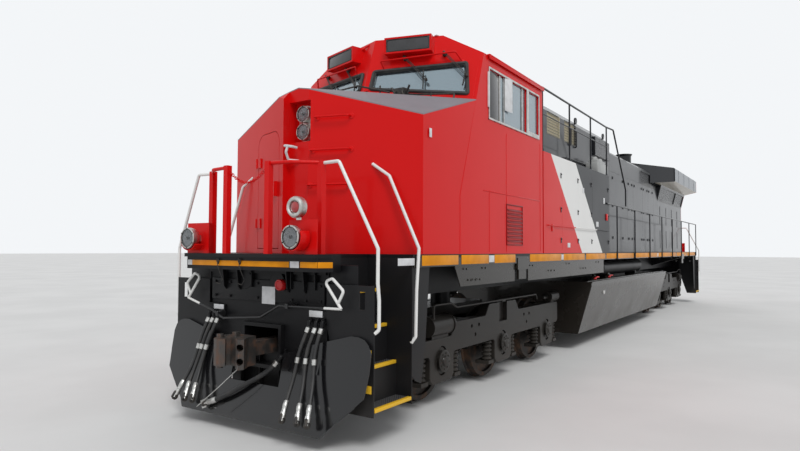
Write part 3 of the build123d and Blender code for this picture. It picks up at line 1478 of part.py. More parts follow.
blower_section = hood_section(HOOD_HALF, BLOWER_TOP, BLOWER_BEVEL)
blower = slab_yz(blower_section, front_x(BLOWER_BACK), front_x(CABINET_FRONT))
for x0, x1 in LOUVRES:
    for side in (1, -1):
        blower -= block(
            front_x(x1), front_x(x0), side * (HOOD_HALF - LOUVRE_DEPTH), side * (HOOD_HALF + 5),
            LOUVRE_BOTTOM, LOUVRE_TOP,
        )
        z = LOUVRE_BOTTOM + LOUVRE_STEP / 2
        while z < LOUVRE_TOP - LOUVRE_STEP / 3:
            slat = Box(x1 - x0 + 4, LOUVRE_DEPTH * 1.25, SLAT_THICKNESS)
            place = Pos(front_x((x0 + x1) / 2), side * (HOOD_HALF - LOUVRE_DEPTH / 2), z)
            blower += place * Rot(-side * SLAT_LEAN, 0, 0) * slat
            z += LOUVRE_STEP
for side in (1, -1):
    blower += block(
        front_x(SCREEN[1]), front_x(SCREEN[0]), side * (HOOD_HALF - 5), side * (HOOD_HALF + SCREEN_PROUD),
        SCREEN_BOTTOM, SCREEN_TOP,
    )
    for offset in LIFT_RINGS:
        ring = across(70, front_x(offset), up(4640), side * (HOOD_HALF - 150), side * (HOOD_HALF - 120))
        ring -= across(36, front_x(offset), up(4640) + 30, side * (HOOD_HALF - 155), side * (HOOD_HALF - 115))
        blower += Pos(0, side * 30, 95) * ring
save("blower_hood", blower)

# Engine hood: a shell with door seams, a recess below the wings and the stack's opening
ENGINE_BEVEL = 70
ENGINE_SEAMS = (12910, 13570, 14730, 15510, 16270)
ENGINE_DOOR_TOP = up(3900)
HOOD_RECESS = (14500, 16900)
HOOD_RECESS_BOTTOM = up(3970)
HOOD_RECESS_TOP = up(4280)
HOOD_RECESS_DEPTH = 30
STACK_OFFSET = 14450
STACK_Y = 500
STACK_RADIUS = 200
STACK_TOP = up(4780)
radiator_front_x = rear_x(RADIATOR_FRONT)
engine_front = front_x(BLOWER_BACK) - PANEL_GAP
engine_section = hood_section(HOOD_HALF, ENGINE_TOP, ENGINE_BEVEL)
engine_hood = slab_yz(engine_section, radiator_front_x + PANEL_GAP, engine_front)
inner_section = hood_section(HOOD_HALF - WALL, ENGINE_TOP - WALL, ENGINE_BEVEL)
engine_room = [(y, z - 5 if z == DECK else z) for y, z in inner_section]
engine_hood -= slab_yz(engine_room, radiator_front_x - 50, engine_front + 50)
for side in (1, -1):
    face = side * HOOD_HALF
    for offset in ENGINE_SEAMS:
        x = front_x(offset)
        engine_hood -= block(
            x - SEAM / 2, x + SEAM / 2, face - side * SEAM_DEPTH, face + side * 5, DECK + 60, ENGINE_DOOR_TOP,
        )
    engine_hood -= block(
        radiator_front_x + 60, engine_front - 60, face - side * SEAM_DEPTH, face + side * 5,
        ENGINE_DOOR_TOP - SEAM, ENGINE_DOOR_TOP,
    )
    engine_hood -= block(
        front_x(HOOD_RECESS[1]) + PANEL_GAP, front_x(HOOD_RECESS[0]),
        face - side * HOOD_RECESS_DEPTH, face + side * 5, HOOD_RECESS_BOTTOM, HOOD_RECESS_TOP,
    )
save("engine_hood", engine_hood)

stack = Pos(front_x(STACK_OFFSET), STACK_Y, 0) * (
    upright(STACK_RADIUS, 0, 0, ENGINE_TOP, STACK_TOP - 60)
    + Pos(0, 0, STACK_TOP - 32) * Cone(STACK_RADIUS, STACK_RADIUS + 35, 60)
    - upright(STACK_RADIUS - 25, 0, 0, ENGINE_TOP + 40, STACK_TOP + 20)
)
save("exhaust_stack", stack)

ENGINE_LENGTH = 4800
ENGINE_HALF = 700
ENGINE_HEIGHT = 1900
engine_back = radiator_front_x + 400
engine_ends = (engine_back, engine_back + ENGINE_LENGTH)
save("engine_block", block(*engine_ends, -ENGINE_HALF, ENGINE_HALF, DECK, DECK + ENGINE_HEIGHT))

# Radiator hood: the body below, the wings above it, and their swept front over the engine hood
WING_SOFFIT = [  # Y, height above the rail
    (HOOD_HALF, 3550),
    (1080, 4070),
    (SIDE - 5, 4160),
]
WING_EDGE = 30
WING_SWEEP = [  # offset, Y
    (14850, 500),
    (15100, 600),
    (16950, 1500),
]
GRILLE = (18100, 21350)
GRILLE_DEPTH = 25
GRILLE_BORDER = 70
GRILLE_BAR = 60
WING_CLEAR = 3

body_section = mirrored(
    [(HOOD_HALF, DECK)]
    + [(y, up(z)) for y, z in WING_SOFFIT]
    + [(SIDE - 5, WING_TOP - WING_EDGE), (SIDE - 5 - WING_EDGE, WING_TOP)]
)
radiator = slab_yz(body_section, rear_x(RADIATOR_BACK), radiator_front_x)
over_section = mirrored([
    (HOOD_HALF - ENGINE_BEVEL, ENGINE_TOP + WING_CLEAR),
    (HOOD_HALF + WING_CLEAR, ENGINE_TOP - ENGINE_BEVEL),
    (HOOD_HALF + WING_CLEAR, up(4043)),
    (1080, up(4070)),
    (SIDE - 5, up(4160)),
    (SIDE - 5, WING_TOP - WING_EDGE),
    (SIDE - 5 - WING_EDGE, WING_TOP),
])
sweep_start, sweep_knee, sweep_tip = [(front_x(offset), y) for offset, y in WING_SWEEP]
swept = [
    (radiator_front_x - 5, SIDE + 10),
    (sweep_tip[0], SIDE + 10),
    sweep_tip,
    sweep_knee,
    sweep_start,
]
swept = swept + [(x, -y) for x, y in reversed(swept)]
over = slab_yz(over_section, radiator_front_x - 5, front_x(WING_SWEEP[0][0]))
radiator += over & slab_xy(swept, up(4000), WING_TOP + 10)
low_y, low_z = WING_SOFFIT[0][0], up(WING_SOFFIT[0][1])
high_y, high_z = WING_SOFFIT[1][0], up(WING_SOFFIT[1][1])
slope = Vector(0, high_y - low_y, high_z - low_z)
slope_length = slope.length
lean = -Vector(0, 0, 1).get_angle(slope)
middle_x = front_x((GRILLE[0] + GRILLE[1]) / 2)
panel_length = (GRILLE[1] - GRILLE[0] - GRILLE_BAR) / 2
for side in (1, -1):
    place = Pos(middle_x, side * (low_y + high_y) / 2, (low_z + high_z) / 2) * Rot(side * lean, 0, 0)
    for way in (1, -1):
        shift = way * (panel_length + GRILLE_BAR) / 2
        radiator -= place * Pos(shift, 0, 0) * Box(panel_length, GRILLE_DEPTH * 2, slope_length - 2 * GRILLE_BORDER)
save("radiator_hood", radiator)

# Step handrails, cut where they meet the railing, the nose and the stair's side plates
rails = []
for route in (FRONT_STEP_RAIL, REAR_STEP_RAIL):
    for side_piece, stair, railing_half in zip(both_sides(step_rail(route)), stairs, railing):
        rails.append(side_piece - stair - nose_outer - railing_half)
save("step_handrails", rails + [Rot(0, 0, 180) * (piece - nose_outer) for piece in rails[:2]])

# Walkway handrails: a rail on posts bolted to the side sill
RAIL_RADIUS = 17
POST_RADIUS = 15
RAIL_HEIGHT = up(2910)
RAIL_Y = SIDE + RAIL_RADIUS
RAIL_BACK = 21000
LEFT_RAIL_FRONT = 8710
RIGHT_RAIL_FRONT = 5110
POSTS = (9520, 11190, 12880, 14510, 16150, 17800, 19400, 20980)
RIGHT_POSTS = (5130, 6600, 8060)


def side_rail(x0, side, posts):
    """A walkway handrail with its posts standing on the side sill's outer face."""
    y = side * RAIL_Y
    pieces = [along(RAIL_RADIUS, y, RAIL_HEIGHT, front_x(RAIL_BACK), front_x(x0))]
    for offset in posts:
        pieces.append(upright(POST_RADIUS, front_x(offset), y, DECK - SILL_HEIGHT, RAIL_HEIGHT))
        pieces.append(block(
            front_x(offset) - 40, front_x(offset) + 40, side * SIDE, side * (SIDE + 12),
            DECK - SILL_HEIGHT, DECK - 20,
        ))
    return fuse(pieces)


left_rail = side_rail(LEFT_RAIL_FRONT, 1, POSTS)
right_rail = side_rail(RIGHT_RAIL_FRONT, -1, RIGHT_POSTS + POSTS)
save("side_handrails", [left_rail, right_rail])

# Deck rail: the rail on the equipment cabinet's top that slopes down to the walkway rail
DECK_RAIL_Y = 1480
DECK_RAIL_TOP = up(4540)
DECK_RAIL_MIDDLE = up(4120)
DECK_POSTS = (5110, 6450, 7720, 8860)
RAIL_SLOPE = [  # offset, Y, height above the rail
    (9250, RAIL_Y, 4540),
    (10300, RAIL_Y, 3320),
    (10300, RAIL_Y, 2945),
]
first_post, last_post = front_x(DECK_POSTS[0]), front_x(DECK_POSTS[-1])
route = [(first_post, DECK_RAIL_Y, DECK_RAIL_TOP), (last_post, DECK_RAIL_Y, DECK_RAIL_TOP)]
route += [(front_x(offset), y, up(z)) for offset, y, z in RAIL_SLOPE]
deck_rail = [tube(route, RAIL_RADIUS, 60)]
deck_rail.append(along(RAIL_RADIUS * 0.6, DECK_RAIL_Y, DECK_RAIL_MIDDLE, last_post, first_post))
for offset in DECK_POSTS:
    deck_rail.append(upright(POST_RADIUS, front_x(offset), DECK_RAIL_Y, CABINET_TOP, DECK_RAIL_TOP))
save("deck_rail", fuse(deck_rail))
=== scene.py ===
import math

import bpy
from mathutils import Matrix, Vector


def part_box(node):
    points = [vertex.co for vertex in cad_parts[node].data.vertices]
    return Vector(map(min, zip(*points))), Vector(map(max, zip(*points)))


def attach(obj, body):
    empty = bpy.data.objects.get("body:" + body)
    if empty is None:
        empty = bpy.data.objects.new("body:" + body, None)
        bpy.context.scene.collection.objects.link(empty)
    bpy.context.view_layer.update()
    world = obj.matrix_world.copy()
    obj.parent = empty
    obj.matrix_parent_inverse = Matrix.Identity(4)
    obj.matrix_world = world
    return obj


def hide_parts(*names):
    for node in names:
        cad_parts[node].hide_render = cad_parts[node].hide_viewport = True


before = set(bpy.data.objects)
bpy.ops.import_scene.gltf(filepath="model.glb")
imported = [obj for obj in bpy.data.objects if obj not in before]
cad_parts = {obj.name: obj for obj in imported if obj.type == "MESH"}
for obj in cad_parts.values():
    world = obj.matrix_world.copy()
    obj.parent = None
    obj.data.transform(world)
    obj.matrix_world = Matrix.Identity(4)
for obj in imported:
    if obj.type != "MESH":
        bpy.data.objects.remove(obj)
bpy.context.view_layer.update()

# Camera
# It stands ahead of the left front corner at a standing person's eye height and looks back along
# the left side. The lens is the wide one of a phone, with its focal length given for a frame 800 by 451;
# the render size itself is not set.
LENGTH = 22.3
FLANGE_DEPTH = 0.028
SENSOR_WIDTH = 36
IMAGE_WIDTH = 800
FOCAL_PIXELS = 601.45


def place(offset, y, height):
    """A point from its distance behind the front coupler face, its side and its height above the rail."""
    return Vector((LENGTH / 2 - offset, y, height + FLANGE_DEPTH))


camera = bpy.data.objects.new("camera", bpy.data.cameras.new("camera"))
bpy.context.scene.collection.objects.link(camera)
bpy.context.scene.camera = camera
camera.data.sensor_width = SENSOR_WIDTH
camera.data.lens = FOCAL_PIXELS * SENSOR_WIDTH / IMAGE_WIDTH
camera.data.clip_end = 500
yaw, pitch, roll = math.radians(33.928), math.radians(2.246), math.radians(0.265)
ahead = Vector((-math.cos(yaw) * math.cos(pitch), -math.sin(yaw) * math.cos(pitch), math.sin(pitch)))
level = Vector((-math.sin(yaw), math.cos(yaw), 0))
upward = level.cross(ahead)
right = level * math.cos(roll) + upward * math.sin(roll)
top = upward * math.cos(roll) - level * math.sin(roll)
view = Matrix((right, top, -ahead)).transposed().to_4x4()
camera.matrix_world = Matrix.Translation(place(-4.084, 4.928, 1.938)) @ view

# Control hoses and brake hose
# Six black rubber control hoses hang from elbows on the end sheet down in front of the plow, and a
# thicker brake hose crosses to the other side. Each has steel crimps, and a coupling at its lower end.


class Wire:
    """A shader socket. Arithmetic on it adds Math nodes to its own material."""

    def __init__(self, tree, socket=None):
        self.tree = tree
        self.socket = socket

    def add(self, kind, settings=None, inputs=None, output=0):
        node = self.tree.nodes.new("ShaderNode" + kind)
        for name, value in (settings or {}).items():
            setattr(node, name, value)
        for name, value in (inputs or {}).items():
            if isinstance(value, Wire):
                self.tree.links.new(value.socket, node.inputs[name])
            else:
                node.inputs[name].default_value = value
        return Wire(self.tree, node.outputs[output])

    def math(self, operation, *values):
        return self.add("Math", {"operation": operation}, dict(enumerate(values)))

    def __add__(self, other):
        return self.math("ADD", self, other)

    def __sub__(self, other):
        return self.math("SUBTRACT", self, other)

    def __rsub__(self, other):
        return self.math("SUBTRACT", other, self)

    def __mul__(self, other):
        return self.math("MULTIPLY", self, other)

    __radd__ = __add__
    __rmul__ = __mul__

    def above(self, limit):
        """1 where this is over the limit, and 0 elsewhere."""
        return self.math("GREATER_THAN", self, limit)

    def below(self, limit):
        """1 where this is under the limit, and 0 elsewhere."""
        return self.math("LESS_THAN", self, limit)

    def wave(self, rate):
        """A sine along this."""
        return self.math("SINE", self * rate)

    def between(self, low, high):
        """0 below low, 1 above high, and smooth from one to the other."""
        ends = {"Value": self, "From Min": low, "From Max": high}
        return self.add("MapRange", {"interpolation_type": "SMOOTHSTEP"}, ends)

    def noise(self, scale, detail, rough=0.55):
        """Cloudy noise on this vector."""
        inputs = {"Vector": self, "Scale": scale, "Detail": detail, "Roughness": rough}
        return self.add("TexNoise", None, inputs)

    def axis(self, letter):
        """One coordinate of this vector."""
        return self.add("SeparateXYZ", None, {"Vector": self}, letter)

    def aside(self):
        """This vector's distance from the middle plane of the locomotive."""
        return self.math("ABSOLUTE", self.axis("Y"))

    def stretched(self, *scale):
        """This vector with each axis multiplied by its own scale."""
        return self.add("Mapping", None, {"Vector": self, "Scale": scale})

    def blend(self, one, other):
        """A colour between two others, by this mask. A plain colour is linear red, green and blue."""
        one, other = [value if isinstance(value, Wire) else (*value, 1.0) for value in (one, other)]
        return self.add("Mix", {"data_type": "RGBA"}, {0: self, 6: one, 7: other}, 2)

    def bump(self, strength, distance):
        """A normal from this height."""
        return self.add("Bump", None, {"Height": self, "Strength": strength, "Distance": distance})


def material(name, build, lacquer=(0.0, 0.03), specular=0.5, **constants):
    """A material. build takes the object coordinates and gives the shader inputs that vary, and lacquer is
    the weight and the roughness of a clear coat."""
    made = bpy.data.materials.new(name)
    made.use_nodes = True
    tree = made.node_tree
    shader = tree.nodes["Principled BSDF"]
    constants.update(Coat_Weight=lacquer[0], Coat_Roughness=lacquer[1], Specular_IOR_Level=specular)
    for socket, value in constants.items():
        shader.inputs[socket.replace("_", " ")].default_value = value
    coordinates = Wire(tree).add("TexCoord", output="Object")
    for socket, wire in build(coordinates).items():
        tree.links.new(wire.socket, shader.inputs[socket])
    return made


def mottled(one, other, cloud, rough, mask=(0.3, 0.7), grain=None, dull_grain=False):
    """The build of a finish that clouds from one colour to the other. Its roughness follows the cloud, or
    the fine grain that its surface may have."""

    def build(spot):
        patches = spot.noise(*cloud)
        shade = patches.between(*mask) if mask else patches
        inputs = {"Base Color": shade.blend(one, other)}
        dull = patches
        if grain:
            scale, detail, strength, depth = grain
            fine = spot.noise(scale, detail)
            inputs["Normal"] = fine.bump(strength, depth)
            dull = fine if dull_grain else patches
        inputs["Roughness"] = rough[0] + dull * rough[1]
        return inputs

    return build


def steel_build(spot):
    cloud = spot.noise(14, 4)
    scratch = spot.stretched(40, 700, 40).noise(2, 3)
    return {
        "Base Color": cloud.between(0.3, 0.7).blend((0.62, 0.62, 0.60), (0.44, 0.43, 0.41)),
        "Roughness": 0.24 + scratch * 0.22,
        "Normal": scratch.bump(0.12, 0.0005),
    }


PLATED_STEEL = material("plated steel", steel_build, Metallic=1.0)
HOSE_RUBBER = material("hose rubber", mottled(
    (0.012, 0.012, 0.013), (0.035, 0.033, 0.031), cloud=(9, 4), rough=(0.38, 0.25), mask=(0.35, 0.75),
    grain=(420, 2, 0.25, 0.0006)))
HAND_IRON = material("cast hose coupling", mottled(
    (0.022, 0.021, 0.021), (0.07, 0.06, 0.05), cloud=(30, 4), rough=(0.38, 0.3), mask=(0.35, 0.75),
    grain=(240, 2, 0.3, 0.001)), Metallic=0.4)

HOSE_RADIUS, BRAKE_HOSE_RADIUS = 0.021, 0.027
HOSE_DROP = [(0.534, 1.141), (0.490, 1.035), (0.450, 0.890), (0.420, 0.730), (0.370, 0.580), (0.300, 0.450),
             (0.235, 0.340)]
HOSE_SIDES = [
    (0.868, (0.704, 0.690, 0.652, 0.640, 0.635, 0.638, 0.660)),
    (0.873, (0.798, 0.784, 0.754, 0.760, 0.785, 0.815, 0.850)),
    (0.874, (0.880, 0.872, 0.859, 0.880, 0.910, 0.945, 0.980)),
    (0.879, (-0.694, -0.715, -0.755, -0.790, -0.790, -0.760, -0.722)),
    (0.875, (-0.773, -0.800, -0.835, -0.866, -0.885, -0.875, -0.846)),
    (0.871, (-0.853, -0.870, -0.895, -0.921, -0.945, -0.970, -0.987)),
]
BRAKE_ROUTE = [
    (0.486, 0.320, 0.761), (0.464, 0.274, 0.700), (0.438, 0.195, 0.632), (0.410, 0.080, 0.560),
    (0.375, -0.060, 0.485), (0.345, -0.210, 0.400), (0.320, -0.370, 0.315), (0.305, -0.540, 0.250),
]
hoses = []
for number, (length, sides) in enumerate(HOSE_SIDES, 1):
    route = [place(offset, y, z) for (offset, z), y in zip(HOSE_DROP, sides)]
    hoses.append(("front_mu_hose_%d" % number, route, HOSE_RADIUS, length))
hoses.append(("front_brake_hose", [place(*point) for point in BRAKE_ROUTE], BRAKE_HOSE_RADIUS, 1.028))


def coat(finish, *names):
    """CAD nodes take a material."""
    for name in names:
        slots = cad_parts[name].data.materials
        slots.clear()
        slots.append(finish)


def hose_curve(name, route, radius):
    """A smooth round curve with the route's points as its control points."""
    data = bpy.data.curves.new(name, "CURVE")
    data.dimensions = "3D"
    data.bevel_depth = radius
    data.bevel_resolution = 5
    data.resolution_u = 8
    data.use_fill_caps = True
    spline = data.splines.new("NURBS")
    spline.points.add(len(route) - 1)
    for point, where in zip(spline.points, route):
        point.co = (*where, 1)
    spline.order_u = 3
    spline.use_endpoint_u = True
    hose = bpy.data.objects.new(name, data)
    bpy.context.scene.collection.objects.link(hose)
    return hose


def united(pieces):
    """Several shapes joined as one."""
    bpy.ops.object.select_all(action="DESELECT")
    for piece in pieces:
        piece.select_set(True)
    bpy.context.view_layer.objects.active = pieces[0]
    if len(pieces) > 1:
        bpy.ops.object.join()
    return bpy.context.active_object


def settle(shapes, name, finish, body="carbody", angle=35):
    """The shapes become one piece with a name and a finish, with its place in its mesh, on its body."""
    piece = united(shapes)
    bpy.ops.object.transform_apply(location=True, rotation=True, scale=True)
    bpy.ops.object.shade_smooth_by_angle(angle=math.radians(angle))
    piece.name = name
    piece.data.materials.clear()
    piece.data.materials.append(finish)
    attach(piece, body)
    return piece


ORIGIN = Vector((0, 0, 0))
FORWARD, LEFT, UP = Vector((1, 0, 0)), Vector((0, 1, 0)), Vector((0, 0, 1))


def located(where):
    """A Vector as it is, or the point that place gives for three numbers."""
    return where if isinstance(where, Vector) else place(*where)


def facing(way):
    """The turn that points a shape's own Z along the way."""
    return Vector(way).to_track_quat("Z", "Y").to_matrix()


def turned(profile, where=ORIGIN, aim=LEFT, sides=24):
    """A round shape on an axis, from steps of distance along it and radius."""
    bpy.ops.mesh.primitive_circle_add(vertices=sides, radius=profile[0][1], fill_type="NGON")
    made = bpy.context.active_object
    bpy.ops.object.mode_set(mode="EDIT")
    bpy.ops.mesh.select_all(action="SELECT")
    bpy.ops.transform.translate(value=(0, 0, profile[0][0]))
    for (along, radius), (next_along, next_radius) in zip(profile, profile[1:]):
        bpy.ops.mesh.extrude_region_move(TRANSFORM_OT_translate={"value": (0, 0, next_along - along)})
        ratio = next_radius / radius
        bpy.ops.transform.resize(value=(ratio, ratio, 1), center_override=(0, 0, next_along))
    bpy.ops.mesh.select_all(action="SELECT")
    bpy.ops.mesh.normals_make_consistent(inside=False)
    bpy.ops.object.mode_set(mode="OBJECT")
    made.matrix_world = Matrix.Translation(located(where)) @ facing(aim).to_4x4()
    return made


def box(size):
    """A plain box round the origin, left in edit mode with all of it selected."""
    bpy.ops.object.select_all(action="DESELECT")
    bpy.ops.mesh.primitive_cube_add(size=1)
    made = bpy.context.active_object
    made.scale = size
    bpy.ops.object.transform_apply(scale=True)
    bpy.ops.object.mode_set(mode="EDIT")
    return made


def slab(centre, size, ease=0.003, turn=None, rounds=2):
    """A bar with eased edges, turned by a matrix where it isn't square to the locomotive."""
    made = box(size)
    bpy.ops.mesh.bevel(offset=ease, segments=rounds, affect="EDGES")
    bpy.ops.object.mode_set(mode="OBJECT")
    made.matrix_world = Matrix.Translation(located(centre)) @ (turn.to_4x4() if turn else Matrix())
    return made


def crimp(radius, steps, where, way):
    """A steel sleeve on a hose, from steps of distance along it and height above the rubber."""
    return turned([(along, radius + proud) for along, proud in steps], where, way)


for node, route, radius, length in hoses:
    name = node.replace("front_", "black_")
    first_way, last_way = (route[1] - route[0]).normalized(), (route[-1] - route[-2]).normalized()
    lower_steps = [(-0.110, 0.002), (-0.105, 0.005), (-0.085, 0.005), (-0.080, 0.007), (-0.045, 0.007),
                   (-0.040, 0.004), (-0.004, 0.004)]
    collars = [
        crimp(radius, [(0.010, 0.003), (0.013, 0.006), (0.062, 0.006), (0.066, 0.003)], route[0], first_way),
        crimp(radius, lower_steps, route[-1], last_way),
    ]
    if node != "front_brake_hose":
        middle_steps = [(-0.030, 0.003), (-0.027, 0.006), (0.027, 0.006), (0.030, 0.003)]
        way = (route[3] - route[2]).normalized()
        collars.append(crimp(radius, middle_steps, (route[2] + route[3]) / 2, way))
    collars = settle(collars, name + "_collars", PLATED_STEEL)
    hand_middle = route[-1] + last_way * 0.062 + Vector((0.012, 0, 0))
    hand = slab(hand_middle, (0.034, 0.062, 0.085), 0.014, facing(last_way), rounds=3)
    ring_steps = [(-0.02, 0.030), (-0.012, 0.036), (0.012, 0.036), (0.02, 0.030)]
    ring = turned(ring_steps, route[-1] + last_way * 0.085, (1, 0, 0.5))
    hand = settle([hand, ring], name + "_gasket_head", HAND_IRON)
    hose = hose_curve(name, route, radius)
    hose.data.materials.append(HOSE_RUBBER)
    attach(hose, "carbody")
    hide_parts(node)
    radius * 2
coat(PLATED_STEEL, "hose_couplings")

# Floor, lights and surroundings
# A pale studio floor takes the shadow. One wide key light comes from the front left, and the pale
# surroundings fill the shadows and show in the glossy paint and in the glass.
bpy.ops.object.select_all(action="DESELECT")
bpy.ops.mesh.primitive_plane_add(size=400, location=(0, 0, 0))
floor = bpy.context.active_object
floor.name = "studio_floor"
floor.data.materials.append(material("studio floor", mottled(
    (0.70, 0.70, 0.69), (0.76, 0.76, 0.75), cloud=(0.35, 4), rough=(0.75, 0.1))))

world = bpy.data.worlds.new("surroundings")
bpy.context.scene.world = world
world.use_nodes = True
sky = Wire(world.node_tree)
rays = sky.add("LightPath", output="Is Camera Ray") + sky.add("LightPath", output="Is Glossy Ray")
rays = rays + sky.add("LightPath", output="Is Transmission Ray")
tone = rays.math("MINIMUM", rays, 1.0).blend((0.50, 0.505, 0.52), (0.90, 0.92, 0.94))
world.node_tree.links.new(tone.socket, world.node_tree.nodes["Background"].inputs["Color"])

key = bpy.data.objects.new("key_light", bpy.data.lights.new("key_light", "SUN"))
key.data.energy = 1.55
key.data.angle = math.radians(22)
key.rotation_euler = Vector((0.62, 0.66, 1.0)).to_track_quat("Z", "Y").to_euler()
bpy.context.scene.collection.objects.link(key)
bpy.context.scene.view_settings.view_transform = "Standard"

# Deck, centre sill and pilots
# The deck plate lies on a fabricated underframe of welded steel, painted satin black. Road dust dulls
# it near the rail.


def paint(colour, dust, amount, reach, shine):
    """The build of a sprayed paint, with dust that grows from the height of reach towards the floor."""

    def build(spot):
        cloud = spot.noise(1.4, 5)
        speck = spot.noise(70, 3)
        low = 1 - spot.axis("Z").between(0.1, reach)
        grime = low * cloud.between(0.3, 0.75) * amount + speck.between(0.64, 0.78) * 0.08 * amount
        shade = cloud.between(0.25, 0.8) * 0.12
        deep = shade.blend(colour, [part * 0.72 for part in colour])
        peel = spot.noise(55, 2)
        return {
            "Base Color": grime.blend(deep, dust),
            "Roughness": shine + cloud * 0.1 + grime * 0.5,
            "Normal": peel.bump(0.05, 0.002),
        }

    return build


DUST = (0.11, 0.095, 0.08)
FRAME_PAINT = paint((0.007, 0.007, 0.008), DUST, 0.20, 1.3, 0.34)
FRAME_BLACK = material("satin black frame paint", FRAME_PAINT, specular=0.2)
coat(FRAME_BLACK, "deck", "centre_sill", "front_pilot", "rear_pilot", "air_reservoirs")

# Platform beams
# A pressed beam closes the front of each platform. Amber reflective tape with white ends is stuck along it,
# hooks of thin wire hang under it, and blank plates are fixed to the end sheet.


def rod(route, radius, bend, closed=False):
    """A round steel rod with a rounded bend at each inner point of its route."""
    route = [located(point) for point in route]
    points = []
    for number, point in enumerate(route):
        before, after = route[number - 1], route[(number + 1) % len(route)]
        if closed or 0 < number < len(route) - 1:
            points.append(point + (before - point).normalized() * bend)
            points.append(point)
            points.append(point + (after - point).normalized() * bend)
        else:
            points.append(point)
    made = hose_curve("rod", points, radius)
    made.data.bevel_resolution = 2
    made.data.resolution_u = 4
    made.data.splines[0].use_cyclic_u = closed
    united([made])
    bpy.ops.object.convert(target="MESH")
    return bpy.context.active_object


def tape_build(spot):
    base = mottled((0.80, 0.30, 0.006), (0.66, 0.24, 0.005), cloud=(5, 3), rough=(0.25, 0.2))(spot)
    cells = spot.add("TexVoronoi", {"feature": "DISTANCE_TO_EDGE"}, {"Scale": 90.0})
    return {**base, "Normal": cells.bump(0.2, 0.0006)}


AMBER_TAPE = material("amber tape", tape_build, specular=0.15)
WHITE_LABEL = material("blank white plate", mottled(
    (0.72, 0.73, 0.74), (0.60, 0.61, 0.62), cloud=(12, 3), rough=(0.3, 0.2), mask=(0.3, 0.75)))
TAPE_THICKNESS = 0.003
TAPE_LOW, TAPE_HIGH = 1.748, 1.806


def strip(start, stop, low=TAPE_LOW, high=TAPE_HIGH):
    """A flat strip that stands on its edge between two points of (offset, y)."""
    start, stop = place(*start, 0), place(*stop, 0)
    run = stop - start
    turn = Matrix.Rotation(math.atan2(run.y, run.x), 3, "Z")
    middle = (start + stop) / 2 + Vector((0, 0, (low + high) / 2))
    return slab(middle, (run.length, TAPE_THICKNESS, high - low), 0.001, turn)


def copied(shape, move):
    """A copy of a shape with a mesh of its own, moved by a matrix."""
    copy = bpy.data.objects.new(shape.name, shape.data.copy())
    bpy.context.scene.collection.objects.link(copy)
    copy.matrix_world = move @ shape.matrix_world
    return copy


def both_ends(shapes):
    """The shapes joined, and a copy turned half round the middle for the other end."""
    shape = united(shapes)
    return [shape, copied(shape, Matrix.Rotation(math.pi, 4, "Z"))]


amber = [strip((0.323, 0.995), (0.323, 0.770)), strip((0.323, 0.620), (0.323, -0.905)),
         strip((0.452, 1.084), (0.325, 0.999))]
settle(both_ends(amber), "beam_amber_tape", AMBER_TAPE)
white = [strip((0.323, 0.755), (0.323, 0.632), 1.745, 1.81), strip((0.323, -0.908), (0.323, -0.985))]
settle(both_ends(white), "beam_white_tape", WHITE_LABEL)
END_PLATES = [(0.073, 1.429, 0.20, 0.19), (-0.740, 1.262, 0.17, 0.055), (0.760, 1.270, 0.18, 0.065)]
plates = [slab((0.574, y, z), (0.006, wide, tall), 0.002) for y, z, wide, tall in END_PLATES]
settle(plates, "end_sheet_plates", WHITE_LABEL)
hooks = []
for y in (-0.45, -0.10):
    hooks.append(rod([(0.312, y, 1.83), (0.306, y, 1.76), (0.312, y + 0.02, 1.70), (0.34, y + 0.05, 1.60),
                      (0.33, y + 0.02, 1.545), (0.325, y - 0.03, 1.56)], 0.004, 0.02))
    hooks.append(rod([(0.312, y - 0.02, 1.80), (0.300, y, 1.83), (0.312, y + 0.02, 1.80), (0.318, y, 1.765)],
                     0.005, 0.012, True))
settle(hooks, "beam_wire_hooks", HAND_IRON)

# Front pilot fittings
# A heavy ribbed plate crosses the end sheet below the beam, with bolt heads and a red valve cap. A thin
# wire hangs from the coupler's pin.
SIDES = (1, -1)


def repeat(shapes, places):
    """Copies of a modelled shape at each place, which is a point or a whole move."""
    pattern = united(shapes)
    bpy.context.view_layer.update()
    moves = [where if isinstance(where, Matrix) else Matrix.Translation(located(where)) for where in places]
    copies = [copied(pattern, move) for move in moves]
    bpy.data.objects.remove(pattern)
    return copies


def bolt(radius, aim):
    """A hexagon head on a washer."""
    washer = [(0.0, radius * 1.45), (radius * 0.25, radius * 1.45)]
    head = [(radius * 0.25, radius), (radius * 0.9, radius), (radius * 1.05, radius * 0.8)]
    return [turned(washer, aim=aim, sides=12), turned(head, aim=aim, sides=6)]


def paired(rows):
    """Bars on both sides of the locomotive, from rows of centre, size and ease."""
    return [slab((offset, side * y, z), size, ease) for side in SIDES for (offset, y, z), size, ease in rows]


HUMP_STEPS = [(0.0, 0.105), (0.022, 0.105), (0.026, 0.10)]
WINGS = [((0.606, 1.050, 1.655), (0.012, 0.460, 0.240), 0.004),
         ((0.596, 0.90, 1.265), (0.040, 0.30, 0.075), 0.004)]
cross_plate = [slab((0.590, 0, 1.475), (0.022, 1.74, 0.24), 0.006)]
cross_plate += [turned(HUMP_STEPS, (0.600, y, 1.585), FORWARD) for y in (-0.30, 0.20)]
cross_plate += [slab((0.575, y, 1.62), (0.05, 0.014, 0.22)) for y in (-0.62, -0.18, 0.42, 0.76)]
settle(cross_plate + paired(WINGS), "end_sheet_cross_plate", FRAME_BLACK)
pin_wire = [(0.215, 0.085, 0.760), (0.205, 0.040, 0.700), (0.150, -0.220, 0.470), (0.105, -0.500, 0.245)]
settle([rod(pin_wire, 0.0045, 0.02)], "coupler_pin_wire", PLATED_STEEL)
end_bolts = [(0.579, y, z) for y in (-0.80, -0.55, -0.10, 0.42, 0.62, 0.82) for z in (1.395, 1.555)]
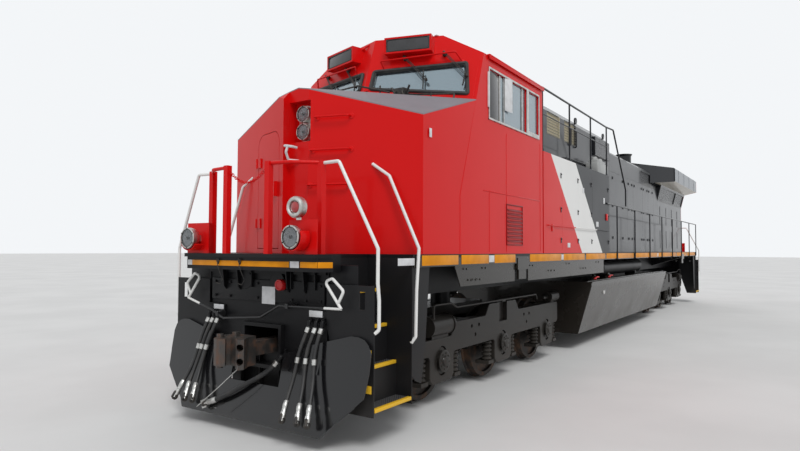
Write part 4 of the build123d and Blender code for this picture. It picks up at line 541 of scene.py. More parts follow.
settle(repeat(bolt(0.014, FORWARD), end_bolts), "end_sheet_bolts", FRAME_BLACK)


def cap_build(spot):
    return {
        "Base Color": spot.noise(20, 3).blend((0.55, 0.010, 0.012), (0.42, 0.006, 0.008)),
        "Roughness": 0.3 + spot.noise(60, 2) * 0.2,
    }


RED_CAP = material("red plastic cap", cap_build)
cap_steps = [(0.0, 0.052), (0.02, 0.060), (0.075, 0.060), (0.083, 0.055), (0.085, 0.040), (0.079, 0.036)]
settle([turned(cap_steps, (0.585, 0.295, 1.552), FORWARD)], "red_valve_cap", RED_CAP)

# Side sills and fuel tank
# Deep side sills and a welded fuel tank, painted a dark grey that shines and mirrors the ground.
SILL_PAINT = paint((0.020, 0.017, 0.014), DUST, 0.35, 1.2, 0.22)
SILL_GREY = material("grey sill paint", SILL_PAINT, (0.35, 0.06), 0.3)
coat(SILL_GREY, "side_sills", "fuel_tank")

# Sill bolts
# Rows of bolts hold the jacking plates and the sill's splice plates on both sides.
SILL_BOLTS = [(2.46, 1.70), (2.98, 1.70), (2.58, 1.56), (2.70, 1.56), (2.82, 1.56), (4.60, 1.70),
              (5.40, 1.60), (5.55, 1.60), (6.30, 1.70), (7.10, 1.60), (7.25, 1.60), (8.10, 1.70)]
heads = [(from_end, side * 1.507, z) for side in SIDES for offset, z in SILL_BOLTS
         for from_end in (offset, LENGTH - offset)]
sill_bolt = turned([(-0.008, 0.013), (0.008, 0.013), (0.011, 0.008)], sides=6)
settle(repeat([sill_bolt], heads), "sill_bolts", SILL_GREY)

# Side sill tape and plates
# Amber tape runs along both side sills. It is cut short at the jacking pads, and white pieces stand
# between its lengths.
SILL_FACE = 1.5065
AMBER_RUNS = [(1.430, 2.250), (2.330, 3.080), (3.260, 3.950), (4.500, 5.900), (6.020, 7.200), (7.300, 8.600),
              (8.700, 11.10), (11.25, 13.9), (14.05, 16.8), (16.95, 18.9), (19.05, 20.8)]
WHITE_RUNS = [(3.090, 3.250), (5.905, 6.015), (13.905, 14.045)]


def sill_tape(runs, z, tall):
    """Lengths of tape on both sills, from where each starts and stops."""
    return paired([(((start + stop) / 2, SILL_FACE, z), (stop - start, TAPE_THICKNESS, tall), 0.001)
                   for start, stop in runs])


settle(sill_tape(AMBER_RUNS, 1.814, 0.112), "sill_amber_tape", AMBER_TAPE)
settle(sill_tape(WHITE_RUNS, 1.816, 0.090), "sill_white_tape", WHITE_LABEL)

# Fuel fillers and tank gauges
# Two red filler valves with levers stand on each side of the tank, with a plated sight gauge between them
# and a folded lip along the tank's upper edge.
NECK_STEPS = [(0.0, 0.032), (0.03, 0.032), (0.04, 0.02)]
GAUGE_STEPS = [(0.0, 0.075), (0.012, 0.075), (0.016, 0.066), (0.010, 0.060)]
levers, gauges = [], []
for side in SIDES:
    for offset in (8.13, 9.17):
        levers.append(rod([(offset - 0.10, side * 1.44, 1.36), (offset, side * 1.47, 1.40),
                           (offset + 0.13, side * 1.47, 1.395)], 0.014, 0.03))
        levers.append(turned(NECK_STEPS, (offset, side * 1.42, 1.37), (0, side, 0.2), 14))
    gauges.append(turned(GAUGE_STEPS, (8.65, side * 1.452, 1.10), (0, side, 0.10)))
settle(levers, "filler_levers", RED_CAP)
settle(gauges, "tank_gauges", PLATED_STEEL)
settle(paired([((11.2, 1.462, 1.330), (7.4, 0.020, 0.022), 0.005)]), "tank_lips", SILL_GREY)

# Trucks
# Cast steel frames with axle boxes, coil springs, motors and brake gear, all painted dark grey brown.
TRUCK_PARTS = ("truck_frame", "axle_boxes", "traction_motors", "brake_gear")
TRUCK_PAINT = material("truck paint", paint((0.018, 0.016, 0.014), DUST, 0.30, 1.0, 0.34), (0.12, 0.15), 0.16)
coat(TRUCK_PAINT, *[end + "_" + part for end in ("front", "rear") for part in TRUCK_PARTS])

# Axle covers
# A round cast cover is bolted over each axle's end, with a raised boss in its middle and eight bolts.
AXLES = (2.57, 4.42, 6.27)
COVER_STEPS = [(0.0, 0.140), (0.010, 0.140), (0.016, 0.120), (0.018, 0.070), (0.034, 0.060), (0.038, 0.030)]
BOLT_CIRCLE = 0.098
for end, half_turn in (("front", 0), ("rear", math.pi)):
    covers, bolts = [], []
    for side in SIDES:
        for offset in AXLES:
            middle = place(offset, side * 1.132, 0.533)
            covers.append(turned(COVER_STEPS, middle, (0, side, 0), 28))
            for number in range(8):
                angle = number * math.pi / 4 + 0.2
                around = Vector((math.cos(angle) * BOLT_CIRCLE, side * 0.016, math.sin(angle) * BOLT_CIRCLE))
                bolts.append(middle + around)
    cover_bolt = turned([(-0.006, 0.012), (0.006, 0.012), (0.009, 0.008)], sides=6)
    cover = united(covers + repeat([cover_bolt], bolts))
    cover.matrix_world = Matrix.Rotation(half_turn, 4, "Z") @ cover.matrix_world
    settle([cover], end + "_axle_covers", TRUCK_PAINT, end + "_truck")

# Wheelsets
# Forged wheels pressed on an axle. The steel is dark, with patches of brown rust.


def wheel_build(spot):
    cloud = spot.noise(6, 5)
    rust = cloud.between(0.45, 0.7)
    return {
        "Base Color": rust.blend((0.050, 0.044, 0.040), (0.10, 0.055, 0.032)),
        "Roughness": 0.45 + cloud * 0.3,
        "Metallic": 0.7 - rust * 0.6,
    }


WHEEL_STEEL = material("wheel steel", wheel_build, specular=0.35)
coat(WHEEL_STEEL, *["%s_wheelset_%d" % (end, number) for end in ("front", "rear") for number in (1, 2, 3)])

# Couplers
# Cast steel knuckle couplers, pitted by use, with a thin brown rust in patches.


def coupler_build(spot):
    cloud = spot.noise(11, 5)
    pits = spot.noise(160, 3)
    rust = (cloud + pits * 0.3).between(0.55, 0.95)
    return {
        "Base Color": rust.blend((0.075, 0.070, 0.066), (0.13, 0.060, 0.032)),
        "Roughness": 0.42 + rust * 0.3,
        "Metallic": 0.55 - rust * 0.5,
        "Normal": pits.bump(0.4, 0.002),
    }


coat(material("cast coupler steel", coupler_build), "couplers")

# Snow plow
# One rolled plate of thick steel in glossy black, bolted to ribs on the end sheet. A ribbed brace stands
# behind its notch.
PLOW_PAINT = paint((0.006, 0.006, 0.007), DUST, 0.08, 0.6, 0.12)
coat(material("glossy plow paint", PLOW_PAINT, (0.45, 0.03), 0.3), "snow_plow")
brace = [slab((0.720, 0, 0.560), (0.016, 1.30, 0.620), 0.004)]
brace += [slab((0.690, y, 0.560), (0.060, 0.016, 0.600), 0.004) for y in (-0.45, -0.15, 0.15, 0.45)]
settle(brace, "plow_brace", FRAME_BLACK)

# Nose and cab
# Welded steel sheet in glossy red enamel. The dull grey on the nose's top is a painted reflection of the sky
# on its upward faces.
RED = (0.68, 0.005, 0.005)
RED_DUST = (0.40, 0.020, 0.014)
RED_PAINT = paint(RED, RED_DUST, 0.25, 2.6, 0.27)


def nose_build(spot):
    inputs = RED_PAINT(spot)
    front, corner = place(1.083, 0.163, 3.808), place(1.470, 1.493, 3.423)
    side, brow = place(2.724, 1.505, 3.842), place(2.340, 0, 4.063)
    aside = spot.aside()
    heights = []
    for first, second, third in ((front, corner, side), (front, side, brow)):
        normal = (second - first).cross(third - first)
        rise, drift = -normal.x / normal.z, -normal.y / normal.z
        heights.append(spot.axis("X") * rise + aside * drift + (first.z - rise * first.x - drift * first.y))
    # The grey on the upward top faces is a painted reflection of the sky, not a paint.
    grey = (spot.axis("Z") - heights[0].math("MINIMUM", *heights)).above(-0.012)
    painted_sky_reflection = spot.noise(3, 4).blend((0.22, 0.20, 0.22), (0.27, 0.25, 0.27))
    inputs["Base Color"] = grey.blend(inputs["Base Color"], painted_sky_reflection)
    inputs["Roughness"] = inputs["Roughness"] + grey * 0.3
    return inputs


GLOSS = {"lacquer": (0.07, 0.04), "specular": 0.14}
coat(material("nose enamel", nose_build, **GLOSS), "nose_shell")
RED_ENAMEL = material("red enamel", RED_PAINT, **GLOSS)
coat(RED_ENAMEL, "nose_door", "cab_sides", "cab_front", "cab_roof", "cab_back", "cab_rear_door",
     "number_boards", "end_railings")

# Cab glass, frames and inside
# Tinted laminated glass in plated frames, before a grey moulded desk and a grey floor.


def glass_build(spot):
    cloud = spot.noise(2, 3)
    return {"Roughness": 0.02 + cloud * 0.04, "Alpha": 0.66 + cloud * 0.1}


GLASS_TINT = (0.33, 0.42, 0.47, 1.0)
coat(material("tinted glass", glass_build, (1.0, 0.02), Base_Color=GLASS_TINT, Metallic=0.65), "cab_windows")
coat(PLATED_STEEL, "window_frames")
GREY_CONSOLE = material("grey console", mottled(
    (0.10, 0.105, 0.11), (0.14, 0.145, 0.15), cloud=(5, 3), rough=(0.5, 0.2),
    grain=(180, 3, 0.3, 0.0006), dull_grain=True))
coat(GREY_CONSOLE, "cab_desk", "cab_floor")

# Cab seats
# Two pedestal seats on steel columns with pressed seat pans. The cushions are foam under black vinyl,
# crowned in the middle, drawn in along a sewn channel and rounded at their edges.
BLACK_VINYL = material("black vinyl", mottled(
    (0.020, 0.020, 0.023), (0.035, 0.035, 0.038), cloud=(7, 3), rough=(0.42, 0.2),
    grain=(260, 3, 0.5, 0.0008), dull_grain=True))
CHANNEL_WIDTH, CHANNEL_DEPTH = 0.16, 0.22
EDGE_THICKNESS, PULL_IN = 0.62, 0.05


def cushion(centre, size, thin):
    """A crowned pad that is drawn in between its corners and along one channel."""
    pad = box(size)
    bpy.ops.mesh.subdivide(number_cuts=11)
    bpy.ops.object.mode_set(mode="OBJECT")
    across, along = [axis for axis in range(3) if axis != thin]
    for vertex in pad.data.vertices:
        u = vertex.co[across] * 2 / size[across]
        v = vertex.co[along] * 2 / size[along]
        depth = vertex.co[thin] * 2 / size[thin]
        edge = (1 - u ** 4) * (1 - v ** 4)
        channel = math.exp(-(v / CHANNEL_WIDTH) ** 2) * CHANNEL_DEPTH
        vertex.co[thin] *= EDGE_THICKNESS + (1 - EDGE_THICKNESS) * edge - channel * edge
        vertex.co[across] *= 1 - PULL_IN * (1 - v * v) - PULL_IN * depth ** 2
        vertex.co[along] *= 1 - PULL_IN * (1 - u * u) - PULL_IN * depth ** 2
        vertex.co += Vector(centre)
    smooth = pad.modifiers.new("rounding", "SUBSURF")
    smooth.levels = smooth.render_levels = 1
    bpy.ops.object.modifier_apply(modifier="rounding")
    return pad


seat_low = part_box("cab_seats")[0]
column_steps = [(0.0, 0.150), (0.012, 0.150), (0.020, 0.060), (0.385, 0.055), (0.395, 0.120)]
pads, seat_frames = [], []
for side in SIDES:
    middle = Vector((seat_low[0] + 0.250, side * 0.850, seat_low[2]))
    pads.append(cushion(middle + Vector((0.040, 0, 0.455)), (0.400, 0.470, 0.108), 2))
    pads.append(cushion(middle + Vector((-0.200, 0, 0.815)), (0.098, 0.430, 0.600), 0))
    seat_frames.append(turned(column_steps, middle, UP, 28))
    seat_frames.append(slab(middle + Vector((0.030, 0, 0.402)), (0.360, 0.400, 0.012), 0.004))
    seat_frames.append(slab(middle + Vector((-0.236, 0, 0.640)), (0.010, 0.260, 0.480), 0.004))
settle(seat_frames, "seat_frames", FRAME_BLACK)
settle(pads, "seat_cushions", BLACK_VINYL, angle=60)
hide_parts("cab_seats")

# Windshield gaskets
# Thick black rubber holds each pane in the raked front. A thinner inner bead closes the joint to the glass.
SLANT, LEAN = 0.31, 0.34


def outward(side):
    """The way that the raked cab front faces on one side."""
    rake = Vector((1, SLANT, LEAN)).normalized()
    return Vector((rake.x, rake.y * side, rake.z))


def windshield(y, z, proud=0.0):
    """A point on the raked cab front, from its side and height, lifted by proud."""
    return place(0.951 + SLANT * abs(y) + LEAN * z, y, z) + outward(-1 if y < 0 else 1) * proud


PANE = [(0.092, 4.092), (0.092, 4.350), (1.308, 4.372), (1.390, 3.926)]
BEAD = [(0.115, 4.108), (0.115, 4.330), (1.292, 4.350), (1.368, 3.950)]
gaskets = []
for side in SIDES:
    gaskets.append(rod([windshield(side * y, z, 0.004) for y, z in PANE], 0.026, 0.055, True))
    gaskets.append(rod([windshield(side * y, z, -0.004) for y, z in BEAD], 0.014, 0.05, True))
settle(gaskets, "windshield_gaskets", HOSE_RUBBER)

# Cab corner sheets
# A folded sheet closes the raked front between each pane and the cab side, and runs on below the pane down
# to the nose top.
CORNER_SHEET = [(0.050, 4.055), (1.458, 3.849), (1.458, 4.460), (1.200, 4.400), (1.304, 4.376),
                (1.394, 3.924), (0.092, 4.088)]
SHEET_THICKNESS = 0.009
corner_sheets = []
for side in SIDES:
    bpy.ops.object.select_all(action="DESELECT")
    bpy.ops.mesh.primitive_circle_add(vertices=len(CORNER_SHEET), fill_type="NGON")
    sheet = bpy.context.active_object
    for vertex, (y, z) in zip(sheet.data.vertices, CORNER_SHEET):
        vertex.co = windshield(side * y, z, -0.006)
    bpy.ops.object.mode_set(mode="EDIT")
    bpy.ops.mesh.select_all(action="SELECT")
    bpy.ops.mesh.extrude_region_move(TRANSFORM_OT_translate={"value": outward(side) * SHEET_THICKNESS})
    bpy.ops.mesh.select_all(action="SELECT")
    bpy.ops.mesh.normals_make_consistent(inside=False)
    bpy.ops.object.mode_set(mode="OBJECT")
    corner_sheets.append(sheet)
settle(corner_sheets, "cab_corner_sheets", RED_ENAMEL)

# Wipers and their guard bars
# Two wipers hang over each pane from motors behind the sheet. A red bar on two brackets guards the motors
# below each number board.
WIPERS = [((0.488, 4.503), (0.833, 4.150), (0.772, 4.295), (0.814, 4.025)),
          ((1.006, 4.519), (1.346, 4.163), (1.325, 4.301), (1.314, 4.033))]
GUARD_BAR = [(0.230, 4.368, 0.005), (0.190, 4.440, 0.100), (1.165, 4.486, 0.100), (1.250, 4.398, 0.005)]
HUB_STEPS = [(0.0, 0.030), (0.03, 0.030), (0.04, 0.020), (0.075, 0.018), (0.080, 0.010)]
CLIP_STEPS = [(0.025, 0.020), (0.055, 0.020), (0.062, 0.012)]
FOOT_STEPS = [(0.0, 0.028), (0.012, 0.026), (0.018, 0.016)]
wiper_parts, blade_parts, guards = [], [], []
for side in SIDES:
    out = outward(side)
    for start, stop, high, low in WIPERS:
        if side < 0:
            stop, high, low = [(2 * start[0] - y, z) for y, z in (stop, high, low)]
        for shift in (-0.012, 0.012):
            ends = ((start, 0.055), (stop, 0.050))
            arm = [windshield(side * (y + shift), z, proud) for (y, z), proud in ends]
            wiper_parts.append(rod(arm, 0.006, 0.02))
        wiper_parts.append(turned(HUB_STEPS, windshield(side * start[0], start[1]), out, 16))
        wiper_parts.append(turned(CLIP_STEPS, windshield(side * stop[0], stop[1]), out, 12))
        blade_parts.append(rod([windshield(side * y, z, 0.034) for y, z in (high, low)], 0.010, 0.02))
    guards.append(rod([windshield(side * y, z, proud) for y, z, proud in GUARD_BAR], 0.011, 0.03))
    for y, z, proud in (GUARD_BAR[0], GUARD_BAR[3]):
        guards.append(turned(FOOT_STEPS, windshield(side * y, z), out, 12))
settle(wiper_parts, "wiper_arms", HAND_IRON)
settle(blade_parts, "wiper_blades", HOSE_RUBBER)
settle(guards, "wiper_guard_bars", RED_ENAMEL)

# Number board faces
# A dark glass face fills each board's rim, held by a thin rubber line. The faces are blank.
BOARD_GLASS = material("dark board glass", mottled(
    (0.018, 0.018, 0.020), (0.030, 0.030, 0.033), cloud=(9, 3), rough=(0.12, 0.12)), (0.4, 0.03))
BOARD_TALL, BOARD_RIM = 0.172, 0.008
faces, lines = [], []
for side in SIDES:
    near, far = place(2.436, side * 0.273, 4.670), place(2.623, side * 0.897, 4.670)
    run = (far - near).normalized()
    out = Vector((abs(run.y), -run.x * (1 if run.y > 0 else -1), 0))
    turn = Matrix((run, UP, run.cross(UP))).transposed()
    middle = (near + far) / 2 - out * BOARD_RIM
    long = (far - near).length - 0.050
    faces.append(slab(middle, (long, BOARD_TALL, 0.006), 0.002, turn))
    across, upright = run * (long / 2 - BOARD_RIM), UP * (BOARD_TALL / 2 - BOARD_RIM)
    ring = [middle + out * 0.004 + across * a + upright * b for a, b in ((-1, -1), (1, -1), (1, 1), (-1, 1))]
    lines.append(rod(ring, 0.006, 0.07, True))
settle(faces, "number_board_faces", BOARD_GLASS)
settle(lines, "number_board_lines", HOSE_RUBBER)

# Grab rail and camera on the nose top
# A thin black rail stands on short posts in front of the windshield, and a dark camera in a cage sits
# at its middle.
CAMERA_Y = 0.640
LEFT_RAIL = [(2.470, 1.300, 3.74), (2.540, 1.290, 3.905), (2.400, 0.800, 3.930), (2.330, 0.560, 3.965)]
RIGHT_RAIL = [(2.300, 0.460, 3.985), (2.215, 0.000, 4.120), (2.330, -0.440, 4.140), (2.560, -1.260, 4.060),
              (2.500, -1.290, 3.78)]
rail = [rod(LEFT_RAIL, 0.012, 0.03), rod(RIGHT_RAIL, 0.012, 0.05)]
for y, low in ((0.30, 3.96), (-0.36, 3.95), (1.0, 3.80)):
    rail.append(rod([(2.25 + abs(y) * 0.20, y, z) for z in (low, low + 0.14)], 0.010, 0.02))
base_steps = [(0.0, 0.13), (0.012, 0.13), (0.020, 0.09), (0.055, 0.08), (0.060, 0.05)]
rail.append(turned(base_steps, (2.300, CAMERA_Y, 3.845), (0.25, 0.1, 1), 20))
rail.append(slab((2.310, CAMERA_Y, 3.955), (0.11, 0.16, 0.12), 0.02))
for way in (-1, 1):
    cage = [(2.300, way * 0.05, 3.90), (2.290, way * 0.11, 3.98), (2.285, way * 0.14, 4.035)]
    stay = [(2.250, way * 0.10, 3.84), (2.235, way * 0.06, 3.95), (2.30, way * 0.05, 4.0)]
    for route, radius in ((cage, 0.014), (stay, 0.010)):
        rail.append(rod([(offset, CAMERA_Y + y, z) for offset, y, z in route], radius, 0.03))
settle(rail, "nose_rail_and_camera", HAND_IRON)

# Cab roof fittings
# A bent grab loop and a small pale antenna are bolted to the roof sheet.
loop = [(2.600, -0.30, 4.62), (2.560, -0.30, 4.70), (2.650, -0.10, 4.838), (2.690, -0.08, 4.78)]
settle([rod(loop, 0.010, 0.03)], "roof_grab_loop", RED_ENAMEL)
antenna = turned([(0.0, 0.030), (0.006, 0.030), (0.009, 0.012), (0.022, 0.008)], (2.86, 0.84, 4.826), UP, 16)
settle([antenna], "roof_antenna", WHITE_LABEL)

# Cab sides
# Folded seams, a louvre for the cab's air and a folded awning over the windows. The louvre's darker red is
# painted shade between its slats. A pale wind deflector stands at the front of the side window.
LOUVRE_TILT, LOUVRE_PITCH = 38, 0.054
seams = [((offset, 1.506, (low + high) / 2), (0.006, 0.006, high - low), 0.002)
         for offset, low, high in ((3.10, 1.90, 2.72), (3.645, 1.90, 3.55), (4.93, 1.92, 3.60))]
seams.append(((3.92, 1.507, 2.700), (1.98, 0.010, 0.014), 0.004))
settle(paired(seams), "cab_side_seams", RED_ENAMEL)
louvre = paired([((offset, 1.509, 2.285), (0.015, 0.014, 0.57), 0.003) for offset in (3.6475, 4.2025)])
louvre += paired([((3.925, 1.509, z), (0.57, 0.014, 0.016), 0.003) for z in (2.005, 2.565)])
for side in SIDES:
    tilt = Matrix.Rotation(side * math.radians(LOUVRE_TILT), 3, "X")
    for number in range(9):
        middle = (3.925, side * 1.508, 2.065 + number * LOUVRE_PITCH)
        louvre.append(slab(middle, (0.50, 0.008, 0.050), 0.002, tilt))
# The louvre's darker red is painted shade between its slats.
SHADED_LOUVRE_PAINT = paint((0.22, 0.003, 0.005), RED_DUST, 0.3, 2.6, 0.35)
settle(louvre, "cab_side_louvres", material("louvre paint with painted shade", SHADED_LOUVRE_PAINT, specular=0.3))
awning = [((4.06, 1.512, 4.505), (2.00, 0.050, 0.022), 0.006),
          ((4.06, 1.530, 4.480), (2.00, 0.008, 0.055), 0.003)]
settle(paired(awning), "window_awnings", RED_ENAMEL)
settle(paired([((3.068, 1.514, 4.045), (0.040, 0.020, 0.47), 0.006)]), "wind_deflectors", WHITE_LABEL)

# Side window sashes
# The large window slides in two sashes. Dark stiles part them, a pale wind deflector is hinged to the
# middle one, and screws hold the frame.
settle(paired([((3.285, 1.492, 4.005), (0.290, 0.006, 0.62), 0.002)]), "dark_window_sashes", BOARD_GLASS)
stiles = [((offset, 1.494, 4.005), (wide, 0.012, 0.64), 0.003)
          for offset, wide in ((3.450, 0.028), (3.590, 0.020), (4.235, 0.030))]
settle(paired(stiles), "window_stiles", PLATED_STEEL)
hinged, screws = [], []
for side in SIDES:
    turn = Matrix.Rotation(side * math.radians(-5), 3, "Z")
    hinged.append(slab((3.715, side * 1.512, 4.105), (0.215, 0.008, 0.470), 0.003, turn))
    screws += [(3.08 + number * 0.186, side * 1.509, 3.655) for number in range(8)]
    screws += [(3.078, side * 1.509, z) for z in (3.80, 3.95, 4.10, 4.25)]
settle(hinged, "hinged_deflectors", WHITE_LABEL)
screw = turned([(-0.003, 0.011), (0.003, 0.011), (0.005, 0.006)], sides=8)
settle(repeat([screw], screws), "window_frame_screws", FRAME_BLACK)

# Nose fittings
# Grab irons end in round lugs, a bent white pipe fitting is bolted below the headlights, and two blank
# plates mark the left corner.
NOSE_FRONT, NOSE_CORNER = (1.083, 0.163), (1.470, 1.493)
nose_slope = (NOSE_CORNER[0] - NOSE_FRONT[0]) / (NOSE_CORNER[1] - NOSE_FRONT[1])
lugs = []
for near, far, z in ((0.270, 0.680, 3.450), (0.220, 0.680, 3.070), (0.190, 0.670, 2.670)):
    for y in (near, far):
        where = (NOSE_FRONT[0] + (y - NOSE_FRONT[1]) * nose_slope, y, z)
        lugs.append(turned([(0.0, 0.034), (0.008, 0.034), (0.014, 0.018)], where, (1, 0.29, 0), 14))
settle(lugs, "grab_iron_lugs", RED_ENAMEL)
upper_bend = [(1.03, -0.11, 3.150), (0.96, -0.10, 3.140), (0.955, 0.02, 3.120), (1.03, 0.03, 3.115)]
lower_bend = [(0.955, -0.04, 3.130), (0.945, -0.06, 3.060), (1.00, -0.07, 2.975), (1.07, 0.03, 2.965)]
settle([rod(bend, 0.016, 0.03) for bend in (upper_bend, lower_bend)], "bent_pipe_fitting", WHITE_LABEL)
corner_plates = [slab((1.60, 1.509, 3.23), (0.05, 0.004, 0.10), 0.001)]
corner_plates.append(slab((1.12, 1.509, 1.805), (0.31, 0.004, 0.075), 0.001))
settle(corner_plates, "nose_corner_plates", WHITE_LABEL)

# Equipment cabinet and hoods
# Folded sheet steel boxes with doors. The cabinet is red in front, then a slanted white band, then black.
WHITE = (0.80, 0.80, 0.78)
BLACK_PAINT = paint((0.008, 0.009, 0.012), DUST, 0.25, 2.6, 0.24)


def cabinet_build(spot):
    red, black = RED_PAINT(spot), BLACK_PAINT(spot)
    white = paint(WHITE, (0.55, 0.52, 0.48), 0.3, 2.6, 0.3)(spot)

    def behind(upper, lower):
        """1 behind a slanted line that is given by its ends."""
        lean = (upper.x - lower.x) / (upper.z - lower.z)
        line = spot.axis("Z") * lean + (lower.x - lean * lower.z)
        return (line - spot.axis("X")).above(0.0)

    past_red = behind(place(5.438, 0, 3.498), place(7.055, 0, 1.890))
    past_white = behind(place(6.721, 0, 3.500), place(8.388, 0, 1.894))
    band = past_red.blend(red["Base Color"], white["Base Color"])
    return {**red, "Base Color": past_white.blend(band, black["Base Color"])}


coat(material("banded enamel", cabinet_build, **GLOSS), "equipment_cabinet")

# Cabinet doors, latches and plates
# Three turn latches hold each door. Red switch covers and blank plates are fixed on the outside, and
# pale equipment stands on the top.
HOOD_GLOSS = {"lacquer": (0.32, 0.05), "specular": 0.2}
BLACK_ENAMEL = material("black enamel", BLACK_PAINT, **HOOD_GLOSS)
latches = [(offset, 1.505, z) for offset in (5.90, 6.82, 7.66, 8.86) for z in (2.10, 2.62, 3.20)]
latch = [slab(Vector((0, 0.004, 0)), (0.030, 0.012, 0.090))]
latch.append(turned([(0.0, 0.012), (0.012, 0.011), (0.016, 0.006)], Vector((0, 0.006, 0.02)), LEFT, 10))
settle(repeat(latch, latches), "cabinet_latches", BLACK_ENAMEL)
switches = [slab((8.72, 1.515, 2.62), (0.10, 0.022, 0.14), 0.006)]
switches.append(slab((5.48, 1.511, 2.30), (0.09, 0.012, 0.12), 0.004))
settle(switches, "switch_covers", RED_ENAMEL)
CABINET_PLATES = [(8.05, 2.45, 0.16, 0.10), (8.55, 2.95, 0.10, 0.12), (6.30, 2.02, 0.14, 0.08),
                  (7.15, 3.05, 0.10, 0.10)]
plates = [slab((offset, 1.507, z), (wide, 0.004, tall), 0.001) for offset, z, wide, tall in CABINET_PLATES]
settle(plates, "cabinet_plates", WHITE_LABEL)
PALE_GREY = material("pale equipment paint", paint((0.42, 0.43, 0.42), (0.3, 0.28, 0.25), 0.3, 5.0, 0.4))
gear = [slab((9.28, 1.16, 3.70), (0.80, 0.26, 0.26), 0.02)]
gear.append(slab((9.28, 1.16, 3.86), (0.60, 0.20, 0.06), 0.015))
pot_steps = [(0.0, 0.07), (0.10, 0.07), (0.13, 0.05)]
gear += [turned(pot_steps, (offset, 1.16, 3.83), UP, 18) for offset in (9.08, 9.45)]
settle(gear, "pale_equipment", PALE_GREY)

# Deck rail feet
# Each post of the rail on the cabinet's top stands on a foot plate with two gussets.
feet = []
for offset in (5.11, 6.45, 7.72, 8.86):
    feet.append(slab((offset, 1.470, 3.516), (0.120, 0.055, 0.010), 0.002))
    for way in (-1, 1):
        turn = Matrix.Rotation(math.radians(way * 28), 3, "Y")
        feet.append(slab((offset + way * 0.030, 1.480, 3.585), (0.012, 0.010, 0.150), 0.002, turn))
settle(feet, "deck_rail_feet", BLACK_ENAMEL)
coat(BLACK_ENAMEL, "exhaust_stack", "side_handrails", "deck_rail", "engine_block")

# Blower hood
# Black sheet hood with two banks of cream louvre slats, screen boxes of woven wire and pipe loops on its
# sides.
WIRE_GREY = (0.05, 0.05, 0.052)


def blower_build(spot):
    inputs = BLACK_PAINT(spot)
    aside, height, along = spot.aside(), spot.axis("Z"), spot.axis("X")
    bank = aside.below(0.9495) * aside.above(0.90) * height.above(4.149) * height.below(4.587)
    cream = bank * along.above(2.68) * along.below(4.39)
    screen = aside.above(0.975) * height.above(4.0)
    wires = along.wave(260) * height.wave(260)
    base = cream.blend(inputs["Base Color"], (0.74, 0.69, 0.55))
    base = (screen * wires.between(-0.2, 0.3)).blend(base, WIRE_GREY)
    return {**inputs, "Base Color": base, "Normal": (screen * wires).bump(0.5, 0.004)}


coat(material("blower hood paint", blower_build, **HOOD_GLOSS), "blower_hood")
HOOD_SIDE, PIPE_SIDE = 0.945, 0.985
PIPES = [
    ([(8.06, HOOD_SIDE, 4.09), (8.06, PIPE_SIDE, 4.09), (8.06, PIPE_SIDE, 4.44), (8.41, PIPE_SIDE, 4.44),
      (8.41, PIPE_SIDE, 4.09), (8.41, HOOD_SIDE, 4.09)], 0.014, 0.05),
    ([(5.30, PIPE_SIDE, 3.62), (7.60, PIPE_SIDE, 3.62), (7.75, PIPE_SIDE, 3.80), (9.00, PIPE_SIDE, 3.80),
      (9.30, HOOD_SIDE, 3.80)], 0.012, 0.05),
    ([(5.60, PIPE_SIDE, 3.70), (6.60, PIPE_SIDE, 3.70), (6.60, HOOD_SIDE, 3.70)], 0.009, 0.03),
]
pipes = [rod([(offset, side * y, z) for offset, y, z in route], radius, bend)
         for side in SIDES for route, radius, bend in PIPES]
settle(pipes, "hood_pipes", BLACK_ENAMEL)

# Engine hood
# A folded sheet hood with doors along both sides on strap hinges, below a recess with a wire screen.


def hood_build(spot):
    inputs = BLACK_PAINT(spot)
    height, along = spot.axis("Z"), spot.axis("X")
    recess = spot.aside().below(0.9495) * height.above(3.99) * height.below(4.31)
    wires = along.wave(220) * height.wave(220)
    base = (recess * wires.between(-0.1, 0.4)).blend(inputs["Base Color"], (0.06, 0.06, 0.062))
    return {**inputs, "Base Color": base, "Normal": (recess * wires).bump(0.6, 0.004)}


coat(material("engine hood paint", hood_build, **HOOD_GLOSS), "engine_hood")
hinges = []
for side in SIDES:
    turn = Matrix() if side > 0 else Matrix.Rotation(math.pi, 4, "Z")
    for offset in (11.40, 12.40, 13.05, 13.43, 13.72, 14.60, 14.88, 15.38, 15.64, 16.14):
        hinges += [Matrix.Translation(place(offset, side * 0.950, z)) @ turn for z in (2.25, 3.05, 3.75)]
hinge = [slab(Vector((0, 0.005, 0)), (0.085, 0.012, 0.030))]
hinge.append(turned([(-0.035, 0.008), (0.035, 0.008)], Vector((0.03, 0.011, 0)), UP, 8))
settle(repeat(hinge, hinges), "hood_door_hinges", BLACK_ENAMEL)

# Radiator hood
# Wide wings stand over the hood. The pale blue-grey on their outer faces is a painted reflection of the sky,
# and the cream on the soffit under them is painted light from the ground. A slanted grille of fine slats
# lets the air in below them, and red panels close the rear end.


def radiator_build(spot):
    inputs = BLACK_PAINT(spot)
    aside, height, along = spot.aside(), spot.axis("Z"), spot.axis("X")
    normal = spot.add("NewGeometry", output="Normal")
    wing = aside.above(1.490) * normal.aside().above(0.6) * height.above(4.15)
    # The pale blue-grey on the wings' outer faces is a painted reflection of the sky.
    pale = spot.noise(2, 4).blend((0.085, 0.10, 0.12), (0.13, 0.15, 0.175))
    # The cream on the downward soffit is painted light from the ground below.
    soffit_painted_light = normal.axis("Z").below(-0.6) * aside.above(1.05) * height.above(4.0)
    grille = (height - 3.62).above(0) * (4.05 - height).above(0) * aside.above(0.955)
    slats = along.wave(150)
    tail = 1 - along.above(-10.26)
    layers = [(wing, pale), (soffit_painted_light, (0.50, 0.46, 0.38)), (grille * slats.between(0.0, 0.5), WIRE_GREY),
              (tail, RED)]
    base = inputs["Base Color"]
    for mask, colour in layers:
        base = mask.blend(base, colour)
    return {**inputs, "Base Color": base, "Normal": (grille * slats).bump(0.7, 0.008)}


